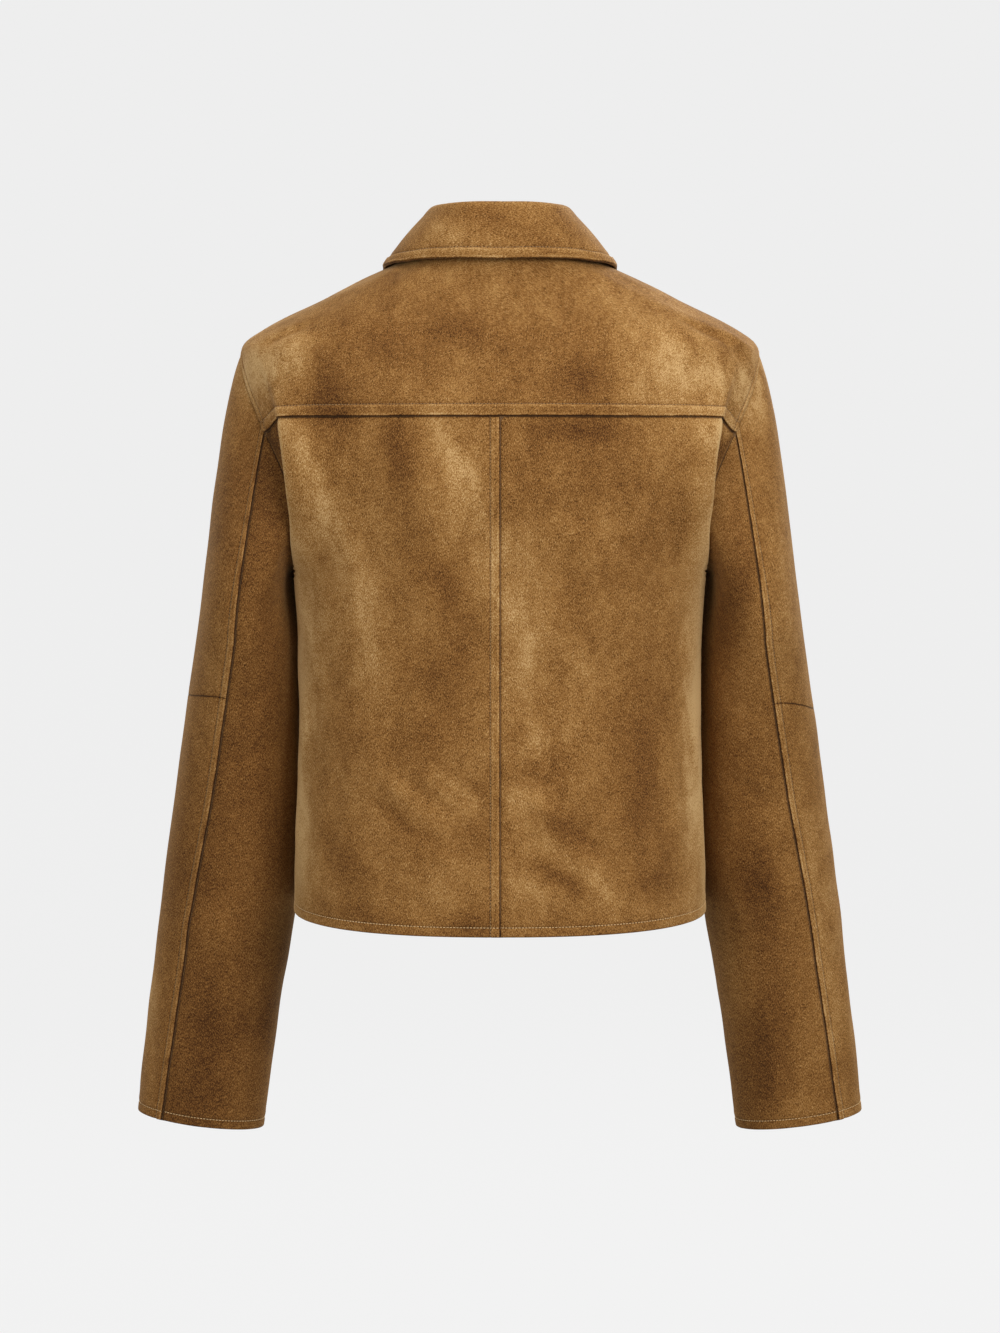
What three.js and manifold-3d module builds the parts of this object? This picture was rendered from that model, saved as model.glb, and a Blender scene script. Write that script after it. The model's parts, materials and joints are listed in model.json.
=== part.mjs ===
// A cropped suede jacket with a turned-down collar, hollow, in the shape it has on a wearer.
// Millimetres, +Z up. The origin lies between the shoulders, level with the side of the neck.
// The front faces -Y and the wearer's left is +X. Each cut piece of cloth is one closed wall.
import * as THREE from "three";
import { mergeVertices } from "three/addons/utils/BufferGeometryUtils.js";
import Module from "manifold-3d";

const wasm = await Module();
wasm.setup();

// Driving dimensions
const CLOTH = 1.8; // thickness of the suede with its backing
const SEAM_GAP = 0.32; // between two pieces at a seam
const HEM_BAND = 8; // depth of the turned hem at the bottom and the cuffs
const YOKE_BAND = 9.4; // lapped edge of the yoke, up to its row of stitches
const RIDGE_BAND = 6.2; // lapped edge beside the centre back and sleeve seams
const COLLAR_BAND = 9; // padded edge of the collar, outside its stitches
const BAND_SLOPE = 1.2; // width over which a raised band comes down to the cloth
const HEM_RISE = 0.5; // how far each kind of band stands proud
const YOKE_RISE = 1;
const RIDGE_RISE = 0.8;
const COLLAR_RISE = 0.7;
const BUTTON_LAP = 17; // each front reaches this far past the centre
const UNDER_LAP_DEPTH = 2.9; // the left front lies this far under the right one

const SHOULDER_V = 452; // top of the armhole, in distance up the cloth
const UNDERARM_V = 275; // bottom of the armhole
const NECK_V = 610; // the neck seam
const YOKE_V = 403; // the yoke seam at the centre back
const YOKE_SAG = 3; // how much lower it lies where the back turns to the side
const YOKE_TURN = 56.5; // degrees round the body at which it turns down under the fold
const YOKE_CORNER_DROP = 13; // from there to its corner at the armhole
const EXTENSION_DROP = 6; // how much lower the button edge ends than the neck seam
const SHOULDER_SEAM_FORWARD = 7; // degrees that the shoulder seam lies in front of the ridge
const LAP_STEP = 13; // width over which the left front comes up again beside the lap

// Body sections, from the hem to the neck. v is the distance up the cloth. Each section is an oval
// with its own half width, its own depth and height at the back, side and front, and a roundness n
// (2 is an ellipse, more is squarer).
const BODY = [
  { v: 0, half: 167, sideZ: -520, backY: 121, backZ: -520, frontY: -127, frontZ: -520, n: 2.37 },
  { v: 40, half: 165.4, sideZ: -480, backY: 119.5, backZ: -480, frontY: -126, frontZ: -480, n: 2.37 },
  { v: 110, half: 162.4, sideZ: -410, backY: 116.5, backZ: -410, frontY: -125, frontZ: -410, n: 2.37 },
  { v: 190, half: 160.8, sideZ: -330, backY: 113.5, backZ: -330, frontY: -125, frontZ: -330, n: 2.4 },
  { v: 275, half: 164, sideZ: -245, backY: 115, backZ: -245, frontY: -129, frontZ: -247, n: 2.46 },
  { v: 345, half: 184, sideZ: -174, backY: 117, backZ: -175, frontY: -129, frontZ: -184, n: 2.36 },
  { v: 403, half: 201, sideZ: -117, backY: 111, backZ: -118, frontY: -118, frontZ: -142, n: 2.29 },
  { v: 452, half: 205, sideZ: -71.5, backY: 99, backZ: -72, frontY: -104, frontZ: -118, n: 2.26 },
  { v: 476, half: 192, sideZ: -59, backY: 93, backZ: -54, frontY: -97, frontZ: -109, n: 2.21 },
  { v: 530, half: 143, sideZ: -34, backY: 84, backZ: -28, frontY: -82, frontZ: -93, n: 2.16 },
  { v: 610, half: 76, sideZ: 1, backY: 70, backZ: 9, frontY: -60, frontZ: -72, n: 2.1 },
];

// The soft fold that the back throws beside each armhole: its place round the body and its height.
const ARMHOLE_FOLD = [
  { v: 235, angle: 80, height: 0 },
  { v: 275, angle: 72, height: 2 },
  { v: 300, angle: 63, height: 6.5 },
  { v: 318, angle: 58.5, height: 9 },
  { v: 342, angle: 55, height: 12.5 },
  { v: 370, angle: 54, height: 9.5 },
  { v: 403, angle: 54.5, height: 6 },
  { v: 425, angle: 58, height: 2.5 },
  { v: 450, angle: 64, height: 0 },
];
const FOLD_INNER_REACH = 9; // degrees over which the fold runs out towards the centre back
const FOLD_OUTER_REACH = 3.4; // degrees over which it turns under towards the armhole

// Broad creases of the body, as soft ridges (height above 0) and troughs between two places.
const CREASES = [
  { fromAngle: 14, fromV: 400, toAngle: 21, toV: 235, height: 2.2, reach: 15 },
  { fromAngle: 30, fromV: 395, toAngle: 35, toV: 260, height: -1.8, reach: 16 },
  { fromAngle: -12, fromV: 330, toAngle: -34, toV: 262, height: 1.8, reach: 12 },
  { fromAngle: -7, fromV: 118, toAngle: -25, toV: 42, height: 2.4, reach: 11 },
  { fromAngle: -14, fromV: 112, toAngle: -38, toV: 30, height: -2, reach: 12 },
  { fromAngle: 6, fromV: 96, toAngle: 20, toV: 150, height: -1.8, reach: 12 },
  { fromAngle: 66, fromV: 215, toAngle: 78, toV: 15, height: 2.2, reach: 16 },
  { fromAngle: -68, fromV: 190, toAngle: -76, toV: 10, height: 2, reach: 16 },
  { fromAngle: 128, fromV: 330, toAngle: 150, toV: 120, height: 2.4, reach: 17 },
  { fromAngle: -126, fromV: 340, toAngle: -146, toV: 150, height: 2.4, reach: 17 },
  { fromAngle: 108, fromV: 225, toAngle: 126, toV: 60, height: -2, reach: 15 },
  { fromAngle: -110, fromV: 215, toAngle: -124, toV: 40, height: -2, reach: 15 },
];

// The armhole, round its middle: how many degrees it is open towards the back and the front.
const ARMHOLE_BACK = 28.6;
const ARMHOLE_FRONT = 29;
const ARMHOLE_EGG = 11.5; // it is this much wider below its middle than above

// Sleeve sections below the armhole, square to the arm. slopeX and slopeY tilt each one. back and
// front are the turns of its two long seams, counted from the outer side towards the back.
const SLEEVE = [
  { drop: 300, x: 205.5, y: -8, half: 38.6, depth: 68, slopeX: 0.12, slopeY: 0.03, back: 86, front: -118 },
  { drop: 350, x: 209, y: -20, half: 43.8, depth: 62, slopeX: 0.12, slopeY: 0.03, back: 79.5, front: -116 },
  { drop: 435, x: 216, y: -32, half: 50.3, depth: 56, slopeX: 0.12, slopeY: 0.04, back: 71.5, front: -114 },
  { drop: 523, x: 225.4, y: -41, half: 54, depth: 51, slopeX: 0.13, slopeY: 0.05, back: 63.6, front: -112 },
  { drop: 620, x: 239, y: -47, half: 53.4, depth: 46, slopeX: 0.137, slopeY: 0.07, back: 60.4, front: -110 },
  { drop: 710, x: 250.8, y: -50, half: 52.4, depth: 41, slopeX: 0.139, slopeY: 0.08, back: 56.4, front: -108 },
];
// The way the cloth of the sleeve leaves the armhole, from its top (turn 0) to its bottom.
const CAP_LEAVES = [
  { turn: 0, outward: 0.4, back: 0, up: -0.92 },
  { turn: 75, outward: 0.2, back: 0.14, up: -0.95 },
  { turn: 115, outward: 0.46, back: 0.2, up: -0.8 },
  { turn: 150, outward: 0.85, back: 0.12, up: -0.35 },
  { turn: 180, outward: 1, back: 0, up: 0.1 },
];
const SLEEVE_TOP_DROP = 300; // where the cap ends and the straight sleeve begins
const CUFF_DROP = 710;
const FRONT_SEAM_AT_ARMHOLE = -122;

// The elbow seam of each top sleeve: its place down the arm at the back seam and at the outer side.
const ELBOW = { left: { atSeam: 351, atOuter: 353 }, right: { atSeam: 354, atOuter: 362 } };

// Creases of the sleeves, by drop and by degrees round from the outer side. side 1 is the left.
const SLEEVE_CREASES = [
  { side: 1, fromTurn: 62, fromDrop: 400, toTurn: 150, toDrop: 372, height: -2.2, reach: 11 },
  { side: 1, fromTurn: 35, fromDrop: 525, toTurn: 135, toDrop: 560, height: 1.6, reach: 13 },
  { side: 1, fromTurn: -30, fromDrop: 430, toTurn: -120, toDrop: 396, height: -2.6, reach: 12 },
  { side: 1, fromTurn: -50, fromDrop: 470, toTurn: -140, toDrop: 452, height: 2, reach: 13 },
  { side: -1, fromTurn: 70, fromDrop: 440, toTurn: 150, toDrop: 400, height: -2, reach: 11 },
  { side: -1, fromTurn: 66, fromDrop: 500, toTurn: 140, toDrop: 532, height: 2, reach: 12 },
  { side: -1, fromTurn: -35, fromDrop: 424, toTurn: -118, toDrop: 388, height: -2.4, reach: 12 },
  { side: -1, fromTurn: -44, fromDrop: 486, toTurn: -140, toDrop: 470, height: 2.2, reach: 13 },
];

// Collar, from the centre back (turn 0) to its front end. The fold stands over the neck seam; the
// edge is given by how far down the body it lies, how far round, and how far off the cloth.
const COLLAR = [
  { turn: 0, foldY: 66, foldX: 0, foldZ: 41.5, edgeTurn: 0, edgeV: 588, off: 7 },
  { turn: 22, foldY: 63, foldX: 23, foldZ: 41.3, edgeTurn: 21, edgeV: 588, off: 6.6 },
  { turn: 45, foldY: 50, foldX: 41, foldZ: 40.2, edgeTurn: 43, edgeV: 588, off: 5.4 },
  { turn: 68, foldY: 28, foldX: 51.5, foldZ: 37.5, edgeTurn: 66, edgeV: 589.5, off: 3.6 },
  { turn: 90, foldY: 2, foldX: 55, foldZ: 32, edgeTurn: 90, edgeV: 591.5, off: 2.8 },
  { turn: 115, foldY: -25, foldX: 53, foldZ: 13, edgeTurn: 116, edgeV: 583, off: 3.4 },
  { turn: 138, foldY: -44, foldX: 42, foldZ: -16, edgeTurn: 134, edgeV: 560, off: 3.6 },
  { turn: 158, foldY: -57, foldX: 25, foldZ: -43, edgeTurn: 151, edgeV: 508, off: 3.8 },
  { turn: 176, foldY: -65, foldX: 5.5, foldZ: -62, edgeTurn: 164, edgeV: 448, off: 4.2 },
];
const ROLL = 3.6; // radius of the fold, on its outer side

const BUTTONS = { count: 6, topZ: -98, bottomZ: -478, radius: 8.5, thick: 3.2, hole: 1, holeAt: 2.1 };
const BUTTON_RIM = 2.4; // width of the rim, out to the button's edge
const BUTTON_DISH = 1.1; // depth of the face inside the rim

// Interpolation

/** The value of a table's column at a place along it, as a smooth curve through the rows. */
function along(table, key, column, place) {
  let i = 0;
  while (i < table.length - 2 && place > table[i + 1][key]) i += 1;
  const at = (k) => table[Math.min(Math.max(k, 0), table.length - 1)];
  const slope = (k) => {
    const span = at(k + 1)[key] - at(k - 1)[key];
    return span === 0 ? 0 : (at(k + 1)[column] - at(k - 1)[column]) / span;
  };
  const width = at(i + 1)[key] - at(i)[key];
  const t = Math.min(Math.max((place - at(i)[key]) / width, 0), 1);
  const a = 2 * t ** 3 - 3 * t ** 2 + 1;
  const b = t ** 3 - 2 * t ** 2 + t;
  const c = 3 * t ** 2 - 2 * t ** 3;
  const d = t ** 3 - t ** 2;
  return a * at(i)[column] + b * width * slope(i) + c * at(i + 1)[column] + d * width * slope(i + 1);
}

/** 0 below the first value, 1 above the second, and a soft step between them. */
function softStep(low, high, value) {
  const t = Math.min(Math.max((value - low) / (high - low), 0), 1);
  return t * t * (3 - 2 * t);
}

/** The height of a list of creases at a place, where across and up are in millimetres. */
function creaseHeight(creases, across, up) {
  let total = 0;
  for (const { x0, y0, x1, y1, height, reach } of creases) {
    const long = (x1 - x0) ** 2 + (y1 - y0) ** 2;
    const t = ((across - x0) * (x1 - x0) + (up - y0) * (y1 - y0)) / long;
    const inside = Math.min(Math.max(t, 0), 1);
    const off = Math.hypot(across - x0 - inside * (x1 - x0), up - y0 - inside * (y1 - y0));
    const taper = softStep(0, 0.3, inside) * softStep(0, 0.3, 1 - inside);
    total += height * taper * Math.exp(-((off / reach) ** 2));
  }
  return total;
}

const MM_PER_DEGREE = 2.6; // round the body, near enough for creases
const bodyCreases = CREASES.map((c) => ({
  x0: c.fromAngle * MM_PER_DEGREE,
  y0: c.fromV,
  x1: c.toAngle * MM_PER_DEGREE,
  y1: c.toV,
  height: c.height,
  reach: c.reach,
}));
const sleeveCreases = SLEEVE_CREASES.map((c) => ({
  side: c.side,
  x0: c.fromTurn,
  y0: c.fromDrop,
  x1: c.toTurn,
  y1: c.toDrop,
  height: c.height,
  reach: c.reach,
}));

// Body surface

/** A point on the body's smooth oval surface. The angle runs from the centre back, left above 0. */
function smoothBody(angle, v) {
  const a = THREE.MathUtils.degToRad(angle);
  const behind = Math.cos(a) >= 0;
  const column = (name) => along(BODY, "v", name, v);
  const n = column("n");
  const radius = (Math.abs(Math.sin(a)) ** n + Math.abs(Math.cos(a)) ** n) ** (-1 / n);
  const depth = column(behind ? "backY" : "frontY");
  const rise = column(behind ? "backZ" : "frontZ") - column("sideZ");
  return new THREE.Vector3(
    column("half") * radius * Math.sin(a),
    depth * radius * Math.abs(Math.cos(a)),
    column("sideZ") + rise * Math.abs(Math.cos(a)) ** 1.5,
  );
}

/** The outward normal of a surface of two parameters, from small steps along each. */
function normalOf(surface, p, q, stepP, stepQ) {
  const alongP = surface(p + stepP, q).sub(surface(p - stepP, q));
  const alongQ = surface(p, q + stepQ).sub(surface(p, q - stepQ));
  return alongQ.cross(alongP).normalize();
}

/** How far the cloth stands off the smooth body, from the armhole folds and the creases. */
function bodyRelief(angle, v) {
  const side = Math.abs(angle);
  const off = side - along(ARMHOLE_FOLD, "v", "angle", v);
  const reach = off > 0 ? FOLD_OUTER_REACH : FOLD_INNER_REACH;
  const inRange = v > ARMHOLE_FOLD[0].v && v < ARMHOLE_FOLD.at(-1).v;
  const height = inRange ? Math.max(along(ARMHOLE_FOLD, "v", "height", v), 0) : 0;
  const fold = height * Math.exp(-((off / reach) ** 2));
  return fold + creaseHeight(bodyCreases, angle * MM_PER_DEGREE, v);
}

/** A point on the outer face of the body. */
function body(angle, v) {
  const normal = normalOf(smoothBody, angle, v, 0.2, 0.5);
  return smoothBody(angle, v).addScaledVector(normal, bodyRelief(angle, v));
}

const bodyNormal = (angle, v) => normalOf(body, angle, v, 0.3, 0.8);

/** The armhole as angle and v. The turn starts at the shoulder and runs to the back. */
function armhole(turn) {
  const t = THREE.MathUtils.degToRad(turn);
  const middle = (SHOULDER_V + UNDERARM_V) / 2;
  const open = (Math.sin(t) >= 0 ? ARMHOLE_BACK : ARMHOLE_FRONT) - ARMHOLE_EGG * Math.cos(t);
  return { angle: 90 - open * Math.sin(t), v: middle + ((SHOULDER_V - UNDERARM_V) / 2) * Math.cos(t) };
}

/** The angle of a back or yoke column at v. A share of 1 is the outer edge. */
function backColumn(share, v) {
  return 90 * share - (90 - outerAngle(v, false)) * share ** 2;
}

/** The turn round the armhole at which its edge has a v, on either half. */
function turnAtV(v) {
  const middle = (SHOULDER_V + UNDERARM_V) / 2;
  return THREE.MathUtils.radToDeg(Math.acos(((v - middle) * 2) / (SHOULDER_V - UNDERARM_V)));
}

/** The outer edge of a back or front piece at v: side seam, armhole, then shoulder seam. */
function outerAngle(v, front) {
  if (v <= UNDERARM_V) return 90;
  if (v >= SHOULDER_V) return 90 + SHOULDER_SEAM_FORWARD * softStep(SHOULDER_V, SHOULDER_V + 30, v);
  return armhole(front ? -turnAtV(v) : turnAtV(v)).angle;
}

/** The yoke seam: level over the back, dropping where it turns under the fold to the armhole. */
function yokeSeam(angle) {
  const turnedUnder = YOKE_CORNER_DROP * softStep(YOKE_TURN, YOKE_TURN + 7, angle);
  return YOKE_V - YOKE_SAG * Math.min(angle / YOKE_TURN, 1) ** 2 - turnedUnder;
}

// Sleeve surfaces, with x counted outwards from the middle of the body on either side

/** The turn as a value from -180 to 180. */
const wrapped = (turn) => (turn > 180 ? turn - 360 : turn);

/** A point on a section of the straight sleeve. The turn starts at the outer side. */
function straightSleeve(turn, drop) {
  const t = THREE.MathUtils.degToRad(turn);
  const column = (name) => along(SLEEVE, "drop", name, drop);
  const x = column("half") * Math.cos(t);
  const y = column("depth") * Math.sin(t);
  return new THREE.Vector3(
    column("x") + x,
    column("y") + y,
    column("slopeX") * x + column("slopeY") * y - drop,
  );
}

const SLEEVE_LENGTH = CUFF_DROP - SLEEVE_TOP_DROP; // of its straight part
const reachOf = (drop) => 1 + (drop - SLEEVE_TOP_DROP) / SLEEVE_LENGTH;
const dropOf = (reach) => SLEEVE_TOP_DROP + SLEEVE_LENGTH * (reach - 1);

/** A sleeve seam's turn at a reach, from the table below the cap and blended above it. */
function seamTurn(column, atArmhole, reach) {
  if (reach >= 1) return along(SLEEVE, "drop", column, dropOf(reach));
  return THREE.MathUtils.lerp(atArmhole, SLEEVE[0][column], softStep(0, 1, reach));
}

const BACK_SEAM_TURN = turnAtV(yokeSeam(90)); // the sleeve's back seam starts at the yoke's corner
const backSeam = (reach) => seamTurn("back", BACK_SEAM_TURN, reach);
const frontSeam = (reach) => seamTurn("front", FRONT_SEAM_AT_ARMHOLE, reach);

/** The surface of one sleeve. side is 1 for the left and -1 for the right. */
function sleeveSurface(side) {
  const outward = new THREE.Vector3(side, 1, 1);
  const creases = sleeveCreases.filter((crease) => crease.side === side);

  /** The armhole's edge, straight between the places where the pieces of the body have points. */
  function seamPoint(turn) {
    const at = wrapped(turn);
    const places = at < 0 ? FRONT_TURNS.map((t) => -t) : BACK_TURNS;
    const next = Math.max(places.findIndex((t) => Math.abs(t) >= Math.abs(at) - 1e-6), 1);
    const [low, high] = [places[next - 1], places[next]];
    const edge = (t) => body(side * armhole(t).angle, armhole(t).v).multiply(outward);
    return edge(low).lerp(edge(high), (at - low) / (high - low));
  }

  /** A point on the sleeve. reach is 0 at the armhole, 1 where the cap ends and 2 at the cuff. */
  function base(turn, reach) {
    if (reach >= 1) return straightSleeve(turn, dropOf(reach));
    const start = seamPoint(turn);
    const end = straightSleeve(turn, SLEEVE_TOP_DROP);
    const down = straightSleeve(turn, SLEEVE_TOP_DROP + 1).sub(end).normalize();
    const length = start.distanceTo(end);
    const leaving = (column) => along(CAP_LEAVES, "turn", column, Math.abs(wrapped(turn)));
    const back = Math.sign(wrapped(turn)) * leaving("back");
    const leave = new THREE.Vector3(leaving("outward"), back, leaving("up")).normalize();
    const first = start.clone().addScaledVector(leave, length * 0.22);
    const second = end.clone().addScaledVector(down, -length * 0.36);
    const u = 1 - reach;
    return start
      .multiplyScalar(u ** 3)
      .addScaledVector(first, 3 * u * u * reach)
      .addScaledVector(second, 3 * u * reach * reach)
      .addScaledVector(end, reach ** 3);
  }

  const normalFrom = (surface, turn, reach) => normalOf(surface, turn, Math.max(reach, 0.012), 0.6, 0.01);

  /** A point on the outer face, with its creases. */
  function point(turn, reach) {
    const at = base(turn, reach);
    const height = reach > 1 ? creaseHeight(creases, wrapped(turn), -at.z) : 0;
    return height ? at.addScaledVector(normalFrom(base, turn, reach), height) : at;
  }

  return { point, normal: (turn, reach) => normalFrom(point, turn, reach) };
}

const sleeves = new Map([1, -1].map((side) => [side, sleeveSurface(side)]));

/**
 * The direction across the cloth at the armhole, for the body and for the sleeve, and the way from
 * the seam into the body. Where body and sleeve turn away from each other, as on the shoulder,
 * both share the direction between theirs, as a mitre.
 */
function armholeEdge(side, turn) {
  const outward = new THREE.Vector3(side, 1, 1);
  const { angle, v } = armhole(wrapped(turn));
  const ofBody = bodyNormal(side * angle, v).multiply(outward);
  const ofSleeve = sleeves.get(side).normal(turn, 0);
  const middle = (SHOULDER_V + UNDERARM_V) / 2;
  const beyond = body(side * (90 + 1.04 * (angle - 90)), middle + 1.04 * (v - middle));
  const away = beyond.sub(body(side * angle, v)).multiply(outward).normalize();
  const share = softStep(0, 0.2, -ofSleeve.dot(away));
  return {
    ofBody: ofBody.clone().addScaledVector(ofSleeve, share).normalize().multiply(outward),
    ofSleeve: ofSleeve.clone().addScaledVector(ofBody, share).normalize(),
    away: away.multiply(outward),
  };
}

// Walls

/**
 * A closed wall over a grid of places. place(i, j) gives a point, its outward normal and how far
 * the outer face is raised there. seams names the edges that meet another piece, which are drawn
 * in by half of the gap: along the grid, or along away where a place gives it, and both ways at
 * a corner of the armhole.
 */
function wall(rows, columns, place, seams) {
  const cells = [];
  for (let i = 0; i <= rows; i += 1) {
    for (let j = 0; j <= columns; j += 1) cells.push(place(i, j));
  }
  const at = (i, j) => cells[i * (columns + 1) + j];
  const pull = (i, j, k, l) => {
    const cell = at(i, j);
    const across = at(k, l).point.clone().sub(cell.point).normalize();
    const ways = [...(cell.away ? [cell.away] : []), ...(cell.away && !cell.corner ? [] : [across])];
    cell.shift ??= new THREE.Vector3();
    for (const way of ways) cell.shift.addScaledVector(way, SEAM_GAP / 2);
  };
  for (let j = 0; j <= columns; j += 1) {
    if (seams.includes("bottom")) pull(0, j, 1, j);
    if (seams.includes("top")) pull(rows, j, rows - 1, j);
  }
  for (let i = 0; i <= rows; i += 1) {
    if (seams.includes("start")) pull(i, 0, i, 1);
    if (seams.includes("end")) pull(i, columns, i, columns - 1);
  }
  const positions = [];
  for (const { point, normal, raise = 0, shift } of cells) {
    const base = shift ? point.clone().add(shift) : point;
    positions.push(...base.clone().addScaledVector(normal, raise).toArray());
  }
  for (const { point, normal, shift } of cells) {
    const base = shift ? point.clone().add(shift) : point;
    positions.push(...base.clone().addScaledVector(normal, -CLOTH).toArray());
  }
  const outer = (i, j) => i * (columns + 1) + j;
  const inner = (i, j) => cells.length + outer(i, j);
  const faces = [];
  const quad = (a, b, c, d) => faces.push(a, b, c, a, c, d);
  for (let i = 0; i < rows; i += 1) {
    for (let j = 0; j < columns; j += 1) {
      quad(outer(i, j), outer(i, j + 1), outer(i + 1, j + 1), outer(i + 1, j));
      quad(inner(i, j), inner(i + 1, j), inner(i + 1, j + 1), inner(i, j + 1));
    }
  }
  for (let j = 0; j < columns; j += 1) {
    quad(inner(0, j), inner(0, j + 1), outer(0, j + 1), outer(0, j));
    quad(outer(rows, j), outer(rows, j + 1), inner(rows, j + 1), inner(rows, j));
  }
  for (let i = 0; i < rows; i += 1) {
    quad(outer(i, 0), outer(i + 1, 0), inner(i + 1, 0), inner(i, 0));
    quad(inner(i, columns), inner(i + 1, columns), outer(i + 1, columns), outer(i, columns));
  }
  return facingOut(positions, faces);
}

/** A geometry from points and triangles, turned so that its faces point out. */
function facingOut(positions, faces) {
  const corner = (k) => new THREE.Vector3().fromArray(positions, 3 * faces[k]);
  let volume = 0;
  for (let k = 0; k < faces.length; k += 3) volume += corner(k).dot(corner(k + 1).cross(corner(k + 2)));
  if (volume < 0) faces.reverse();
  const geometry = new THREE.BufferGeometry();
  geometry.setAttribute("position", new THREE.Float32BufferAttribute(positions, 3));
  geometry.setIndex(faces);
  return geometry;
}

/** How much of a raised band is left at a distance from the seam that it runs along. */
const band = (distance, width) => 1 - softStep(width, width + BAND_SLOPE, distance);

/** Places from 0 to 1: first the given distances, then even steps that may close up at the end. */
function spread(total, firstDistances, steps, closing) {
  const firsts = [0, ...firstDistances.map((d) => d / total)];
  const start = firsts.at(-1);
  const rest = Array.from({ length: steps }, (_, k) => {
    const u = (k + 1) / steps;
    return start + (1 - start) * (1 - (1 - u) ** closing);
  });
  return [...firsts, ...rest];
}

// Places that two pieces share along a seam

const RIDGE_REACH = 235; // length round the body from the centre back that a share of 1 stands for
const bandTurn = (up) => turnAtV(yokeSeam(90) + up);
const FRONT_TURNS = [0, 17, 34, 51, 68, 85, 103, -FRONT_SEAM_AT_ARMHOLE, 141, 160, 180];
const BACK_TURNS = [
  ...[0, 20, 40, 56, bandTurn(YOKE_BAND + BAND_SLOPE), bandTurn(YOKE_BAND)],
  ...[BACK_SEAM_TURN, 92, 110, 128, 146, 163, 180],
];
const SIDE_ROWS = spread(UNDERARM_V, [HEM_BAND, HEM_BAND + BAND_SLOPE], 9, 1).map((u) => u * UNDERARM_V);
const SHOULDER_ROWS = [463, 480, 505, 536, 572, NECK_V];

// Pieces of the body

const HALF_SHARES = spread(RIDGE_REACH, [RIDGE_BAND, RIDGE_BAND + BAND_SLOPE], 12, 1.25);

/** The v of each turn of the armhole in a list, from the last to the first. */
const armRows = (turns) => [...turns].reverse().map((turn) => armhole(turn).v);

/** A place on the body's pieces. At the armhole's edge the wall turns with the sleeve's. */
function bodyPlace(side, angle, v, atEdge, front, raise) {
  const spot = side * angle;
  const point = body(spot, v);
  const held = THREE.MathUtils.clamp(v, UNDERARM_V, SHOULDER_V);
  if (!atEdge || Math.abs(held - v) > 0.001) return { point, normal: bodyNormal(spot, v), raise };
  const { ofBody, away } = armholeEdge(side, turnAtV(held) * (front ? -1 : 1));
  const corner = held - UNDERARM_V < 0.001 || SHOULDER_V - held < 0.001;
  return { point, normal: ofBody, raise: 0, away, corner };
}

/** Back panel: from the centre back to the side seam and armhole, up to the yoke seam. */
function backPanel(side, lapped) {
  const corner = yokeSeam(90);
  const rows = [...SIDE_ROWS, ...armRows(BACK_TURNS.filter((turn) => turn >= BACK_SEAM_TURN && turn < 180))];
  const place = (i, j) => {
    const share = HALF_SHARES[j];
    const seamHere = yokeSeam(backColumn(share, corner));
    const v = rows[i] + (seamHere - corner) * softStep(UNDERARM_V + 10, corner, rows[i]);
    const ridge = lapped && j < 2 ? RIDGE_RISE : 0;
    const atEdge = j === HALF_SHARES.length - 1;
    const raise = Math.max(HEM_RISE * band(v, HEM_BAND), ridge);
    return bodyPlace(side, backColumn(share, rows[i]), v, atEdge, false, raise);
  };
  return wall(rows.length - 1, HALF_SHARES.length - 1, place, ["start", "end", "top"]);
}

/** Yoke: one piece over both shoulders, from the yoke seam to the neck and the shoulder seams. */
function yoke() {
  const corner = yokeSeam(90);
  const rows = [...armRows(BACK_TURNS.filter((turn) => turn <= BACK_SEAM_TURN)), ...SHOULDER_ROWS];
  const shares = [...HALF_SHARES.slice(1).reverse().map((share) => -share), ...HALF_SHARES];
  const place = (i, j) => {
    const share = Math.abs(shares[j]);
    const seamHere = yokeSeam(backColumn(share, corner));
    const v = rows[i] + ((seamHere - corner) * (NECK_V - rows[i])) / (NECK_V - corner);
    const raise = YOKE_RISE * band(rows[i] - corner, YOKE_BAND);
    const side = Math.sign(shares[j]) || 1;
    const atEdge = j === 0 || j === shares.length - 1;
    return bodyPlace(side, backColumn(share, rows[i]), v, atEdge, false, raise);
  };
  return wall(rows.length - 1, shares.length - 1, place, ["start", "end", "bottom", "top"]);
}

/** The angle of a place beside the centre front, where past is its distance beyond the centre. */
function frontAngle(v, past) {
  const mmPerDegree = body(179, v).x;
  return 180 + past / mmPerDegree;
}

const FRONT_STEPS = 9; // columns of a front, from its outer edge to the step beside the lap
const LAP_PLACES = [-BUTTON_LAP - LAP_STEP, -BUTTON_LAP - 1, 0, BUTTON_LAP];

/** The angle of a front's column at v. */
function frontColumn(j, v) {
  if (j > FRONT_STEPS) return frontAngle(v, LAP_PLACES[j - FRONT_STEPS]);
  const share = j / FRONT_STEPS;
  return 90 + (frontAngle(v, LAP_PLACES[0]) - 90) * share + (outerAngle(v, true) - 90) * (1 - share) ** 2;
}

/** The angles at which the yoke and the fronts have points along the neck seam, on one side. */
const NECK_TURNS = [
  ...HALF_SHARES.filter((share, k) => k === 0 || k > 2).map((share) => backColumn(share, NECK_V)),
  ...Array.from({ length: FRONT_STEPS + 2 }, (_, k) => frontColumn(k + 1, NECK_V)),
];

/** How far the left front lies inside the body's surface, under the right front. */
const underLap = (x) => UNDER_LAP_DEPTH * (1 - softStep(BUTTON_LAP + 1, BUTTON_LAP + LAP_STEP, x));

const FRONT_ROWS = [...SIDE_ROWS, ...armRows(FRONT_TURNS.filter((turn) => turn < 180)), ...SHOULDER_ROWS];

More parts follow.
